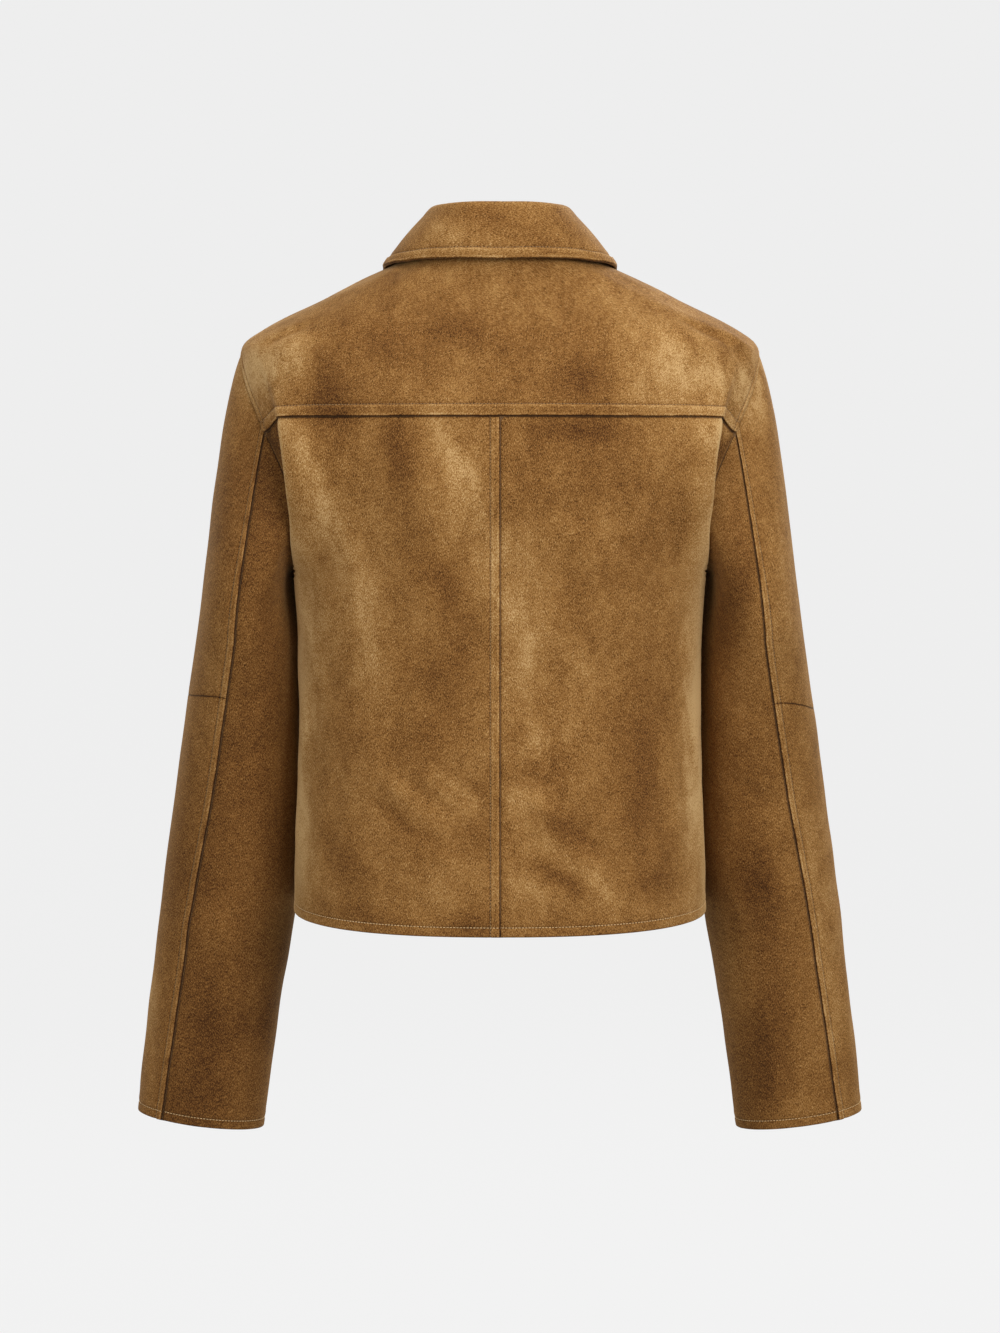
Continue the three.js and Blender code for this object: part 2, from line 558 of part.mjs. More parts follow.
/** Front: from the side seam and armhole past the centre, up to the shoulder and the neck. */
function frontPanel(side, under) {
  const rows = FRONT_ROWS;
  const last = FRONT_STEPS + LAP_PLACES.length - 1;
  const place = (i, j) => {
    const drop = j === last ? EXTENSION_DROP * softStep(0.97, 1, rows[i] / NECK_V) : 0;
    const hem = under ? 0 : HEM_RISE * band(rows[i], HEM_BAND);
    const made = bodyPlace(side, frontColumn(j, rows[i]), rows[i] - drop, j === 0, true, hem);
    const inside = under ? underLap(side * made.point.x) : 0;
    made.point.addScaledVector(made.normal, -inside);
    return made;
  };
  return wall(rows.length - 1, last, place, ["start", "top"]);
}

// Sleeves

const CAP_REACHES = [0, 0.07, 0.17, 0.3, 0.45, 0.62, 0.8, 1];
const LONG_REACHES = [1.07, 1.14, 1.22, 1.32, 1.42, 1.53, 1.64, 1.76, 1.87];
const CUFF_REACHES = [HEM_BAND + BAND_SLOPE, HEM_BAND, 0].map((up) => 2 - up / SLEEVE_LENGTH);
const LOWER_STEPS = 8; // rows of the lower top sleeve above its turned hem

/**
 * A piece of a sleeve. turns are the places of its columns at the armhole, and from and to give
 * its two seams at any reach. reachOf gives the reach of a row at a turn.
 */
function sleevePiece(side, rows, turns, { from, to }, reachAt, ridge, seams) {
  const { point, normal } = sleeves.get(side);
  const outward = new THREE.Vector3(side, 1, 1);
  const place = (i, j) => {
    const share = (turns[j] - turns[0]) / (turns.at(-1) - turns[0]);
    const turnHere = (reach) => THREE.MathUtils.lerp(from(reach), to(reach), share);
    const reach = reachAt(rows[i], turnHere(reachAt(rows[i], turnHere(1))));
    const turn = turnHere(reach);
    const across = reach === 0 ? armholeEdge(side, turn).ofSleeve : normal(turn, reach);
    const hem = HEM_RISE * band((2 - reach) * SLEEVE_LENGTH, HEM_BAND);
    const raise = Math.max(hem, ridge && reach > 0 && j > turns.length - 3 ? RIDGE_RISE : 0);
    return { point: point(turn, reach).multiply(outward), normal: across.multiply(outward), raise };
  };
  return wall(rows.length - 1, turns.length - 1, place, seams);
}

/** The three pieces of one sleeve. */
function sleevePieces(side, name) {
  const elbowReach = (turn) => {
    const { atSeam, atOuter } = ELBOW[name];
    return reachOf(THREE.MathUtils.lerp(atOuter, atSeam, softStep(0, 80, Math.abs(turn))));
  };
  const top = { from: frontSeam, to: backSeam };
  const under = { from: backSeam, to: (reach) => frontSeam(reach) + 360 };
  const inFront = [...FRONT_TURNS].reverse();
  const topFront = inFront.filter((turn) => turn > 0 && turn <= -FRONT_SEAM_AT_ARMHOLE);
  const underFront = inFront.filter((turn) => turn < 180 && turn >= -FRONT_SEAM_AT_ARMHOLE);
  const topTurns = [...topFront.map((t) => -t), ...BACK_TURNS.filter((t) => t <= BACK_SEAM_TURN)];
  const underTurns = [...BACK_TURNS.filter((t) => t >= BACK_SEAM_TURN), ...underFront.map((t) => 360 - t)];
  const upperRows = [...CAP_REACHES, 1.5, 2];
  const toElbow = (row, turn) => (row <= 1 ? row : 1 + (row - 1) * (elbowReach(turn) - 1));
  const lowerRows = [...Array.from({ length: LOWER_STEPS }, (_, k) => k / LOWER_STEPS), 1, 2, 3];
  const fromElbow = (row, turn) => {
    const start = elbowReach(turn);
    return row < 1 ? start + row * (CUFF_REACHES[0] - start) : CUFF_REACHES[row - 1];
  };
  const allRows = [...CAP_REACHES, ...LONG_REACHES, ...CUFF_REACHES];
  const straight = (row) => row;
  const sewn = ["start", "end", "bottom"];
  return {
    [`sleeve_${name}_top_upper`]: sleevePiece(side, upperRows, topTurns, top, toElbow, true, [...sewn, "top"]),
    [`sleeve_${name}_top_lower`]: sleevePiece(side, lowerRows, topTurns, top, fromElbow, true, sewn),
    [`sleeve_${name}_under`]: sleevePiece(side, allRows, underTurns, under, straight, false, sewn),
  };
}

// Collar

const STAND_END = 0.3; // shares of the collar's depth: the stand, then the roll, then the fall
const FALL_START = 0.5;
const FALL_CROWN = 2.2; // how far the fall bows out between its fold and its edge

/**
 * Where the collar is sewn on: the inner face of the body's neck edge and the way up from it. It
 * is straight between the places where the yoke and the fronts have points.
 */
function neckSeam(turn) {
  const t = Math.abs(turn);
  const next = Math.max(NECK_TURNS.findIndex((place) => place >= t - 1e-6), 1);
  const share = (t - NECK_TURNS[next - 1]) / (NECK_TURNS[next] - NECK_TURNS[next - 1]);
  const ends = [NECK_TURNS[next - 1], NECK_TURNS[next]].map((place) => {
    const normal = bodyNormal(place, NECK_V);
    const lapped = turn > 0 ? underLap(body(place, NECK_V).x) : 0;
    const point = body(place, NECK_V).addScaledVector(normal, -CLOTH - lapped);
    const up = body(place, NECK_V).sub(body(place, NECK_V - 2)).normalize();
    return { point, normal, up };
  });
  const between = (name) => ends[0][name].clone().lerp(ends[1][name], share);
  const up = between("up").normalize();
  const point = between("point").addScaledVector(up, SEAM_GAP);
  return { point, normal: between("normal").normalize(), up };
}

/** A point on the visible face of the collar: up the stand, over the fold and down the fall. */
function collarPoint(turn, share) {
  const t = Math.abs(turn);
  const column = (name) => along(COLLAR, "turn", name, t);
  const { point: neck, up } = neckSeam(turn);
  const edge = body(column("edgeTurn"), column("edgeV"));
  edge.addScaledVector(bodyNormal(column("edgeTurn"), column("edgeV")), column("off"));
  const fold = new THREE.Vector3(column("foldX"), column("foldY"), column("foldZ"));
  const outward = new THREE.Vector3(edge.x - neck.x, edge.y - neck.y, 0).normalize();
  const rise = new THREE.Vector3(0, 0, 1);
  let made;
  if (share < STAND_END) {
    const u = share / STAND_END;
    const top = fold.clone().addScaledVector(outward, -ROLL);
    const length = neck.distanceTo(top);
    const low = neck.clone().addScaledVector(up, 0.25 * length);
    const high = top.clone().addScaledVector(rise, -0.4 * length);
    made = neck
      .multiplyScalar((1 - u) ** 3)
      .addScaledVector(low, 3 * u * (1 - u) ** 2)
      .addScaledVector(high, 3 * u * u * (1 - u))
      .addScaledVector(top, u ** 3);
  } else if (share < FALL_START) {
    const roll = (Math.PI * (share - STAND_END)) / (FALL_START - STAND_END);
    made = fold.clone().addScaledVector(outward, -ROLL * Math.cos(roll));
    made.addScaledVector(rise, ROLL * Math.sin(roll));
  } else {
    const u = (share - FALL_START) / (1 - FALL_START);
    const start = fold.clone().addScaledVector(outward, ROLL);
    made = start.lerp(edge, u).addScaledVector(outward, FALL_CROWN * Math.sin(Math.PI * u));
  }
  made.x *= Math.sign(turn) || 1;
  return made;
}

/** The collar: one wall from the neck seam up the stand, over the fold and down the fall. */
function collar() {
  const half = [...NECK_TURNS.filter((turn) => turn < COLLAR.at(-1).turn - 3), COLLAR.at(-1).turn];
  const turns = [...half.slice(1).reverse().map((turn) => -turn), ...half];
  const aboveBand = [0, 0.08, 0.16, 0.24, 0.3, 0.34, 0.4, 0.46, 0.5, 0.58, 0.68, 0.78];
  const place = (i, j) => {
    const turn = turns[j];
    const fall = collarPoint(turn, FALL_START).distanceTo(collarPoint(turn, 1)) / (1 - FALL_START);
    const shares = [...aboveBand, 1 - (COLLAR_BAND + BAND_SLOPE) / fall, 1 - COLLAR_BAND / fall, 1];
    const share = shares[i];
    const inset = THREE.MathUtils.clamp(turn, turns[0] + 0.5, -turns[0] - 0.5);
    const smooth = normalOf(collarPoint, inset, THREE.MathUtils.clamp(share, 0.012, 0.988), 0.5, 0.01).negate();
    const sewn = neckSeam(turn).normal.multiply(new THREE.Vector3(-(Math.sign(turn) || 1), -1, -1));
    const raise = COLLAR_RISE * band((1 - share) * fall, COLLAR_BAND);
    return { point: collarPoint(turn, share), normal: i === 0 ? sewn : smooth, raise };
  };
  return wall(aboveBand.length + 2, turns.length - 1, place, []);
}

// Buttons

/** A closed solid of the manifold library from a geometry. */
function solidOf(geometry) {
  const bare = geometry.clone();
  bare.deleteAttribute("normal");
  bare.deleteAttribute("uv");
  const merged = mergeVertices(bare, 1e-4);
  const vertProperties = merged.attributes.position.array;
  return new wasm.Manifold(new wasm.Mesh({ numProp: 3, vertProperties, triVerts: merged.index.array }));
}

/** A geometry from a solid of the manifold library. */
function geometryOf(solid) {
  const mesh = solid.getMesh();
  const geometry = new THREE.BufferGeometry();
  geometry.setAttribute("position", new THREE.BufferAttribute(mesh.vertProperties, 3));
  return geometry.setIndex(new THREE.BufferAttribute(mesh.triVerts, 1));
}

/** A four-hole button lying on its back: a dished disc with a rounded rim. */
function button() {
  const { radius, thick, hole, holeAt } = BUTTONS;
  const bevel = thick / 2;
  const dish = thick - BUTTON_DISH;
  const profile = [
    [0, 0],
    [radius - bevel, 0],
    [radius, bevel],
    [radius - bevel / 2, thick],
    [radius - BUTTON_RIM, thick],
    [radius - BUTTON_RIM - BUTTON_DISH, dish],
    [0, dish],
  ].map(([x, y]) => new THREE.Vector2(x, y));
  const disc = solidOf(new THREE.LatheGeometry(profile, 18));
  const holes = [45, 135, 225, 315].map((degrees) => {
    const a = THREE.MathUtils.degToRad(degrees);
    const drill = new THREE.CylinderGeometry(hole, hole, 3 * thick, 6);
    return solidOf(drill.translate(holeAt * Math.cos(a), thick / 2, holeAt * Math.sin(a)));
  });
  return geometryOf(holes.reduce((left, drill) => left.subtract(drill), disc));
}

/** The v at which the centre front has a height. */
function frontV(z) {
  let low = 0;
  let high = NECK_V;
  for (let k = 0; k < 40; k += 1) {
    const middle = (low + high) / 2;
    if (body(180, middle).z < z) low = middle;
    else high = middle;
  }
  return low;
}

/** A point on the outer face at the centre front, which is straight between the front's rows. */
function centreFront(v) {
  const next = Math.max(FRONT_ROWS.findIndex((row) => row >= v), 1);
  const [low, high] = [FRONT_ROWS[next - 1], FRONT_ROWS[next]];
  return body(180, low).lerp(body(180, high), (v - low) / (high - low));
}

/** Where a button at a height lies: the way it faces, and a place just off the cloth under it. */
function buttonSeat(z) {
  const under = [-1, -0.5, 0, 0.5, 1].map((share) => centreFront(frontV(z) + share * BUTTONS.radius));
  const up = under.at(-1).clone().sub(under[0]).normalize();
  const normal = new THREE.Vector3(1, 0, 0).cross(up);
  const proud = Math.max(...under.map((point) => point.clone().sub(under[0]).dot(normal)));
  const place = under[0].lerp(under.at(-1), 0.5).addScaledVector(normal, proud + SEAM_GAP);
  return { place, normal };
}

// Assembly

const jacket = new THREE.Group();
jacket.name = "suede_jacket";
const suede = new THREE.MeshStandardMaterial({ color: 0x8c6438, roughness: 0.95, metalness: 0 });
const horn = new THREE.MeshStandardMaterial({ color: 0x3a2617, roughness: 0.45, metalness: 0 });

function add(name, geometry, material) {
  const mesh = new THREE.Mesh(geometry, material);
  mesh.name = name;
  jacket.add(mesh);
  return mesh;
}

add("back_left", backPanel(1, true), suede);
add("back_right", backPanel(-1, false), suede);
add("yoke", yoke(), suede);
add("front_left", frontPanel(1, true), suede);
add("front_right", frontPanel(-1, false), suede);
add("collar", collar(), suede);
for (const [side, name] of [[1, "left"], [-1, "right"]]) {
  for (const [piece, geometry] of Object.entries(sleevePieces(side, name))) add(piece, geometry, suede);
}

const buttonGeometry = button();
for (let k = 0; k < BUTTONS.count; k += 1) {
  const z = THREE.MathUtils.lerp(BUTTONS.topZ, BUTTONS.bottomZ, k / (BUTTONS.count - 1));
  const { place, normal } = buttonSeat(z);
  const mesh = add(`button_${k + 1}`, buttonGeometry, horn);
  mesh.quaternion.setFromUnitVectors(new THREE.Vector3(0, 1, 0), normal);
  mesh.position.copy(place);
}

export default jacket;
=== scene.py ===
"""A cropped suede jacket, dressed: thin suede walls with seams, folds, stitches, nap and buttons.

Lengths in this file are millimetres in the row's frame, and meshes are made in metres. +Z is up,
the front faces -Y and the wearer's left is +X. Each cut piece is a grid of points over the same
surface as its solid, worked out more finely, with its edges, folds and creases in relief.
"""

import json
import logging
import math
from collections.abc import Callable
from dataclasses import dataclass, field
from enum import Enum

import bpy
import numpy as np
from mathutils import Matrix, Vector

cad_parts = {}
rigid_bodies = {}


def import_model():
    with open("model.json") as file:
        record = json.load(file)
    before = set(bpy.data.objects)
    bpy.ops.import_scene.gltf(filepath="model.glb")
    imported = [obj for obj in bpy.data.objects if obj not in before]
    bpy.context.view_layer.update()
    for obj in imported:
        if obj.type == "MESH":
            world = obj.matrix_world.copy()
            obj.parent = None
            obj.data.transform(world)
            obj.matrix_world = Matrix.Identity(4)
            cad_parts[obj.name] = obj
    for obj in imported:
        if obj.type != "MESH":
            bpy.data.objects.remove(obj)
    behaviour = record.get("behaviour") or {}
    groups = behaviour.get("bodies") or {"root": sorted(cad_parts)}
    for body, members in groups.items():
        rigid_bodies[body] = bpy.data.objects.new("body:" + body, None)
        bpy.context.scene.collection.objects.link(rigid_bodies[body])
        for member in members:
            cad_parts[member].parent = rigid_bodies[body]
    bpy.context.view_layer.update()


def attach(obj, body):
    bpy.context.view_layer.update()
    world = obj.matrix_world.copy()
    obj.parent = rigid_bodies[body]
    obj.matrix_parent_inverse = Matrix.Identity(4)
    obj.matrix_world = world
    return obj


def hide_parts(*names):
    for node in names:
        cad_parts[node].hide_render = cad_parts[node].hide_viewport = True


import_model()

Array = np.ndarray
Surface = Callable[[Array, Array], Array]
Socket = bpy.types.NodeSocket
log = logging.getLogger("jacket")

# Driving sizes, the same as the solids'
MM = 0.001
CLOTH = 1.8
HEM_BAND = 7.6
YOKE_BAND = 9.4
BACK_SEAM_BAND = 7.4
SLEEVE_SEAM_BAND = 6.2
ARMHOLE_BAND = 6.4
COLLAR_BAND = 8.4
FRONT_EDGE_BAND = 7.0
BUTTON_LAP = 17.0
UNDER_LAP_DEPTH = 2.9
LAP_STEP = 13.0
LAP_CALM = (13.0, 27.0)  # degrees from the centre front: no swell below the first, so that the laps lie flat
SHOULDER_V = 452.0
UNDERARM_V = 275.0
NECK_V = 610.0
YOKE_V = 403.0
YOKE_SAG = 3.0
YOKE_TURN = 53.6
YOKE_CORNER_DROP = 13.0
EXTENSION_DROP = 6.0
SHOULDER_SEAM_FORWARD = 7.0
SEAM_GAP = 0.32


class Table:
    """Named columns along a key, read as smooth curves through the rows."""

    def __init__(self, columns: str, *rows: tuple[float, ...]) -> None:
        """Keeps the rows. The first named column is the key."""
        values = np.array(rows, float)
        self.columns = dict(zip(columns.split(), values.T))
        self.key = values[:, 0]

    def at(self, name: str, place: Array) -> Array:
        """A column at places along the key, as a cubic whose slope at a row is its neighbours'.

        Args:
            name: The column.
            place: Key values, held to the table's ends.

        Returns:
            The column's value at each place.
        """
        key, value = self.key, self.columns[name]
        i = np.clip(np.searchsorted(key, place) - 1, 0, len(key) - 2)
        before, after = np.maximum(i - 1, 0), np.minimum(i + 2, len(key) - 1)
        slope_low = (value[i + 1] - value[before]) / (key[i + 1] - key[before])
        slope_high = (value[after] - value[i]) / (key[after] - key[i])
        width = key[i + 1] - key[i]
        t = np.clip((place - key[i]) / width, 0, 1)
        low = (2 * t**3 - 3 * t**2 + 1) * value[i] + (t**3 - 2 * t**2 + t) * width * slope_low
        high = (3 * t**2 - 2 * t**3) * value[i + 1] + (t**3 - t**2) * width * slope_high
        return low + high


# Body sections, from the hem to the neck. v is the distance up the cloth. Each is an oval with its
# own half width, depth and height at the back, side and front, and a roundness n.
BODY = Table(
    "v half side_z back_y back_z front_y front_z n",
    (0, 167, -520, 121, -520, -127, -520, 2.37),
    (40, 165.4, -480, 119.5, -480, -126, -480, 2.37),
    (110, 162.4, -410, 116.5, -410, -125, -410, 2.37),
    (190, 160.8, -330, 113.5, -330, -125, -330, 2.4),
    (275, 164, -245, 115, -245, -129, -247, 2.46),
    (345, 184, -174, 117, -175, -129, -184, 2.36),
    (403, 201, -117, 111, -118, -118, -142, 2.29),
    (452, 205, -71.5, 99, -72, -104, -118, 2.26),
    (476, 192.5, -57, 93, -54, -97, -109, 2.21),
    (530, 143, -31.4, 84, -28, -82, -93, 2.16),
    (610, 76, 1, 70, 9, -60, -72, 2.1),
)

# The soft fold that the back throws beside each armhole
ARMHOLE_FOLD = Table(
    "v angle height",
    (110, 84, 0),
    (150, 82.5, 0.5),
    (190, 81, 1.2),
    (235, 77, 2.2),
    (275, 71, 3.8),
    (300, 62.4, 7.4),
    (318, 57.7, 9.8),
    (342, 54.0, 13),
    (370, 52.1, 13.4),
    (392, 52.1, 11.5),
    (403, 52.6, 7.5),
    (425, 56, 2.5),
    (450, 62, 0),
)
FOLD_INNER_REACH = 9.0
FOLD_OUTER_REACH = 2.3
OUTLINE_TURN = 83.5  # the angle at which the side turns out of sight from behind
# Painted rim light on the back, paler towards the outline where the side turns out of sight
RIM_LIGHT = 0.56
RIM_LIGHT_REACH = 9.0
RIM_LIGHT_ABOVE = 0.35  # share of the painted rim light that is left above the armhole's middle
RIM_LIGHT_FADE = (270.0, 350.0)
RIM_LIGHT_ENDS_LOW = 9.0  # degrees past the edge at which it ends, below the underarm and above it
RIM_LIGHT_ENDS_HIGH = 2.0
FOLD_FULL = 8.0  # height of a fold that has its full light and shade
FOLD_CREST = (0.16, 0.35, 0.7)  # painted highlight on the crest: how much paler, and at what angle past the edge, with its reach
FOLD_BEHIND = (0.28, 1.3, 3.0)  # painted shade behind the fold: how much darker, and from which angle past the edge to which
SWELL = 0.45
SWELL_LENGTH = 120.0

# Creases of the body: from angle and v, to angle and v, height above or below the cloth, and reach
MM_PER_DEGREE = 2.6
BROAD_CREASES = (
    (14, 400, 21, 235, 2.2, 15),
    (30, 395, 35, 260, -1.8, 16),
    (-12, 330, -34, 262, 1.8, 12),
    (-7, 118, -25, 42, 2.4, 11),
    (-14, 112, -38, 30, -2, 12),
    (6, 96, 20, 150, -1.8, 12),
    (66, 215, 78, 15, 2.2, 16),
    (-68, 190, -76, 10, 2, 16),
    (128, 330, 150, 120, 2.4, 17),
    (-126, 340, -146, 150, 2.4, 17),
    (108, 225, 126, 60, -2, 15),
    (-110, 215, -124, 40, -2, 15),
)
FINE_CREASES = (
    (-9, 338, -27, 318, -0.9, 5),
    (-6, 112, -22, 84, 1.1, 5),
    (-16, 96, -33, 50, -1.0, 5.5),
    (-24, 100, -40, 70, 0.8, 6),
    (10, 146, 20, 100, -0.9, 6),
    (35, 128, 12, 74, 1.2, 5.5),
    (31, 134, 7, 84, -1.0, 5),
    (39, 114, 15, 60, -1.1, 6),
    (27, 84, 8, 46, 0.9, 5),
    (24, 210, 33, 120, -0.8, 8),
    (38, 330, 44, 210, 0.9, 9),
    (-42, 320, -47, 190, -0.9, 9),
    (46, 150, 52, 30, -0.9, 9),
    (-50, 160, -58, 24, 0.9, 9),
    (64, 455, 50, 492, -2.4, 7),
    (57, 425, 48, 470, 1.2, 5),
    (-66, 438, -50, 500, -3.0, 7),
    (-56, 418, -46, 462, 1.4, 5),
    (-74, 440, -62, 486, 1.2, 6),
    (110, 400, 128, 300, 1.2, 9),
    (-112, 396, -130, 310, 1.2, 9),
    (118, 180, 140, 120, -1.1, 8),
    (-120, 190, -142, 140, -1.1, 8),
    (134, 90, 158, 40, 1.0, 8),
    (-138, 100, -160, 46, 1.0, 8),
)

# The armhole, round its middle: degrees that it is open towards the back and the front
ARMHOLE_BACK = 28.6
ARMHOLE_FRONT = 29.0
ARMHOLE_EGG = 11.5

# Sleeve sections below the armhole, square to the arm, and the turns of its two long seams
SLEEVE = Table(
    "drop x y half depth slope_x slope_y back front",
    (300, 205.5, -8, 38.6, 68, 0.12, 0.03, 86, -118),
    (350, 209, -20, 43.8, 62, 0.12, 0.03, 79.5, -116),
    (435, 216, -32, 50.3, 56, 0.12, 0.04, 71.5, -114),
    (523, 225.4, -41, 54, 51, 0.13, 0.05, 63.6, -112),
    (620, 239, -47, 53.4, 46, 0.137, 0.07, 60.4, -110),
    (710, 250.8, -50, 52.4, 41, 0.139, 0.08, 56.4, -108),
)
# The way the cloth of the sleeve leaves the armhole, from its top to its bottom
CAP_LEAVES = Table(
    "turn outward back up",
    (0, 0.4, 0, -0.92),
    (75, 0.2, 0.14, -0.95),
    (115, 0.46, 0.2, -0.8),
    (150, 0.85, 0.12, -0.35),
    (180, 1, 0, 0.1),
)
CAP_START_PULL = 0.22  # length of the curve's handles, as shares of its span
CAP_END_PULL = 0.36
# Where the inner side of the sleeve leans on the body, by its height below the origin
HUG = Table(
    "drop lean",
    (222, 0),
    (234, 5),
    (248, 7.6),
    (262, 8.4),
    (300, 7.2),
    (330, 6),
    (370, 4),
    (435, 3.4),
    (500, 4),
    (540, 3),
    (590, 0),
)
HUG_TURN = 204.0
HUG_REACH = 34.0
SLEEVE_CREASE_GAIN = 0.65
SLEEVE_SWELL = 0.28
SLEEVE_SWELL_LENGTH = 130.0
SLEEVE_HALF = 50.0  # about half the width of a sleeve
SLEEVE_TOP_DROP = 300.0
CUFF_DROP = 710.0
SLEEVE_LENGTH = CUFF_DROP - SLEEVE_TOP_DROP
FRONT_SEAM_AT_ARMHOLE = -122.0
ELBOW_DROPS = {1: (346.4, 353.0), -1: (351.0, 365.4)}  # at the back seam and at the outer side

# Creases of each sleeve: from turn and drop, to turn and drop, height and reach
SLEEVE_CREASES = {
    1: (
        (62, 400, 150, 372, -2.2, 11),
        (35, 525, 135, 560, 1.6, 13),
        (-30, 430, -120, 396, -2.6, 12),
        (-50, 470, -140, 452, 2, 13),
        (78, 352, 140, 330, -1.4, 7),
        (84, 500, 118, 640, 1.3, 9),
        (20, 590, 44, 690, -1.2, 9),
        (-8, 620, 6, 700, 1.0, 8),
        (96, 620, 108, 706, -1.2, 8),
        (24, 330, 46, 430, 0.9, 10),
    ),
    -1: (
        (70, 440, 150, 400, -2, 11),
        (66, 500, 140, 532, 2, 12),
        (-35, 424, -118, 388, -2.4, 12),
        (-44, 486, -140, 470, 2.2, 13),
        (10, 512, 52, 528, -1.6, 8),
        (22, 560, 34, 690, 1.2, 8),
        (92, 560, 104, 700, -1.4, 8),
        (100, 380, 120, 470, -1.3, 9),
        (82, 420, 128, 396, 1.1, 6),
        (0, 560, 10, 640, -1.0, 8),
    ),
}

# Collar: its fold over the neck seam, and its edge by the place on the body and the distance off it
COLLAR = Table(
    "turn fold_y fold_x fold_z edge_turn edge_v off",
    (0, 66, 0, 41.5, 0, 588, 7),
    (22, 63, 23, 41.3, 21, 588, 6.6),
    (45, 50, 41, 40.2, 43, 588, 5.4),
    (68, 28, 52, 38.5, 66, 589.5, 3.4),
    (90, 2, 56, 33.4, 90, 591.5, 2.6),
    (115, -25, 53, 13, 116, 583, 3.4),
    (138, -44, 42, -16, 134, 560, 3.6),
    (158, -57, 25, -43, 151, 508, 3.8),
    (176, -65, 5.5, -62, 164, 448, 4.2),
)
ROLL = 3.6
STAND_END = 0.3
FALL_START = 0.5
FALL_CROWN = 2.2
STAND_LOW_PULL = 0.25
STAND_HIGH_PULL = 0.4


# Small tools on arrays


def soft_step(low: float, high: float, value: Array) -> Array:
    """0 below the first value, 1 above the second, and a soft step between them."""
    t = np.clip((value - low) / (high - low), 0, 1)
    return t * t * (3 - 2 * t)


def bump(value: Array, middle: float, reach: float) -> Array:
    """A bell of height 1 round a middle value."""
    return np.exp(-(((value - middle) / reach) ** 2))


def unit(vectors: Array) -> Array:
    """The vectors at length 1."""
    return vectors / np.maximum(np.linalg.norm(vectors, axis=-1, keepdims=True), 1e-12)


def stacked(x: Array, y: Array, z: Array) -> Array:
    """Points from their three coordinates, which may have any shapes that fit together."""
    return np.stack(np.broadcast_arrays(x, y, z), axis=-1)


def normal_of(surface: Surface, p: Array, q: Array, step_p: float, step_q: float) -> Array:
    """The normal of a surface of two parameters: across q and then p, from small steps along each."""
    along_p = surface(p + step_p, q) - surface(p - step_p, q)
    along_q = surface(p, q + step_q) - surface(p, q - step_q)
    return unit(np.cross(along_q, along_p))


def bezier(start: Array, first: Array, second: Array, end: Array, t: Array) -> Array:
    """A point on the cubic Bezier curve of two ends and two handles."""
    return (1 - t) ** 3 * start + 3 * t * (1 - t) ** 2 * first + 3 * t**2 * (1 - t) * second + t**3 * end


def tube_faces(rings: Array) -> Array:
    """Faces between each ring of point numbers and the next."""
    after = np.roll(rings, -1, axis=1)
    return np.stack([rings[:-1], after[:-1], after[1:], rings[1:]], axis=-1).reshape(-1, 4)


def fan_faces(first: Array, second: Array, point: int) -> Array:
    """Triangles from pairs of point numbers to one point, which each face names twice."""
    tip = np.full_like(first, point)
    return np.stack([first, second, tip, tip], axis=-1)


def crease_height(creases: tuple, across: Array, up: Array, scale: float) -> Array:
    """The height of a list of creases at places.

    Each crease is a bell about the line between its two ends, which fades out at both of them.

    Args:
        creases: Rows of across and up at one end, the same at the other, height and reach.
        across: Places across, in millimetres.
        up: Places up, in millimetres.
        scale: Millimetres for one unit of a row's across.

    Returns:
        The summed height at each place.
    """
    total = np.zeros(np.broadcast(across, up).shape)
    for x0, y0, x1, y1, height, reach in creases:
        dx, dy = (x1 - x0) * scale, y1 - y0
        t = np.clip(((across - x0 * scale) * dx + (up - y0) * dy) / (dx * dx + dy * dy), 0, 1)
        off = np.hypot(across - x0 * scale - t * dx, up - y0 - t * dy)
        total += height * soft_step(0, 0.3, t) * soft_step(0, 0.3, 1 - t) * np.exp(-((off / reach) ** 2))
    return total


def waves(x: Array, y: Array, seed: int, longest: float, count: int = 9) -> Array:
    """A soft uneven swell of about -1 to 1.

    It is the mean of plane sine waves with random directions and starts, and lengths from the
    longest down to a third of it.
    """
    draw = np.random.default_rng(seed)
    total = np.zeros(np.broadcast(x, y).shape)
    for length, turn, start in zip(
        np.geomspace(longest, longest / 3, count),
        draw.uniform(0, math.pi, count),
        draw.uniform(0, 2 * math.pi, count),
    ):
        total += np.sin(2 * math.pi * (x * math.cos(turn) + y * math.sin(turn)) / length + start)
    return total / math.sqrt(count)


# The surfaces that the cloth lies on


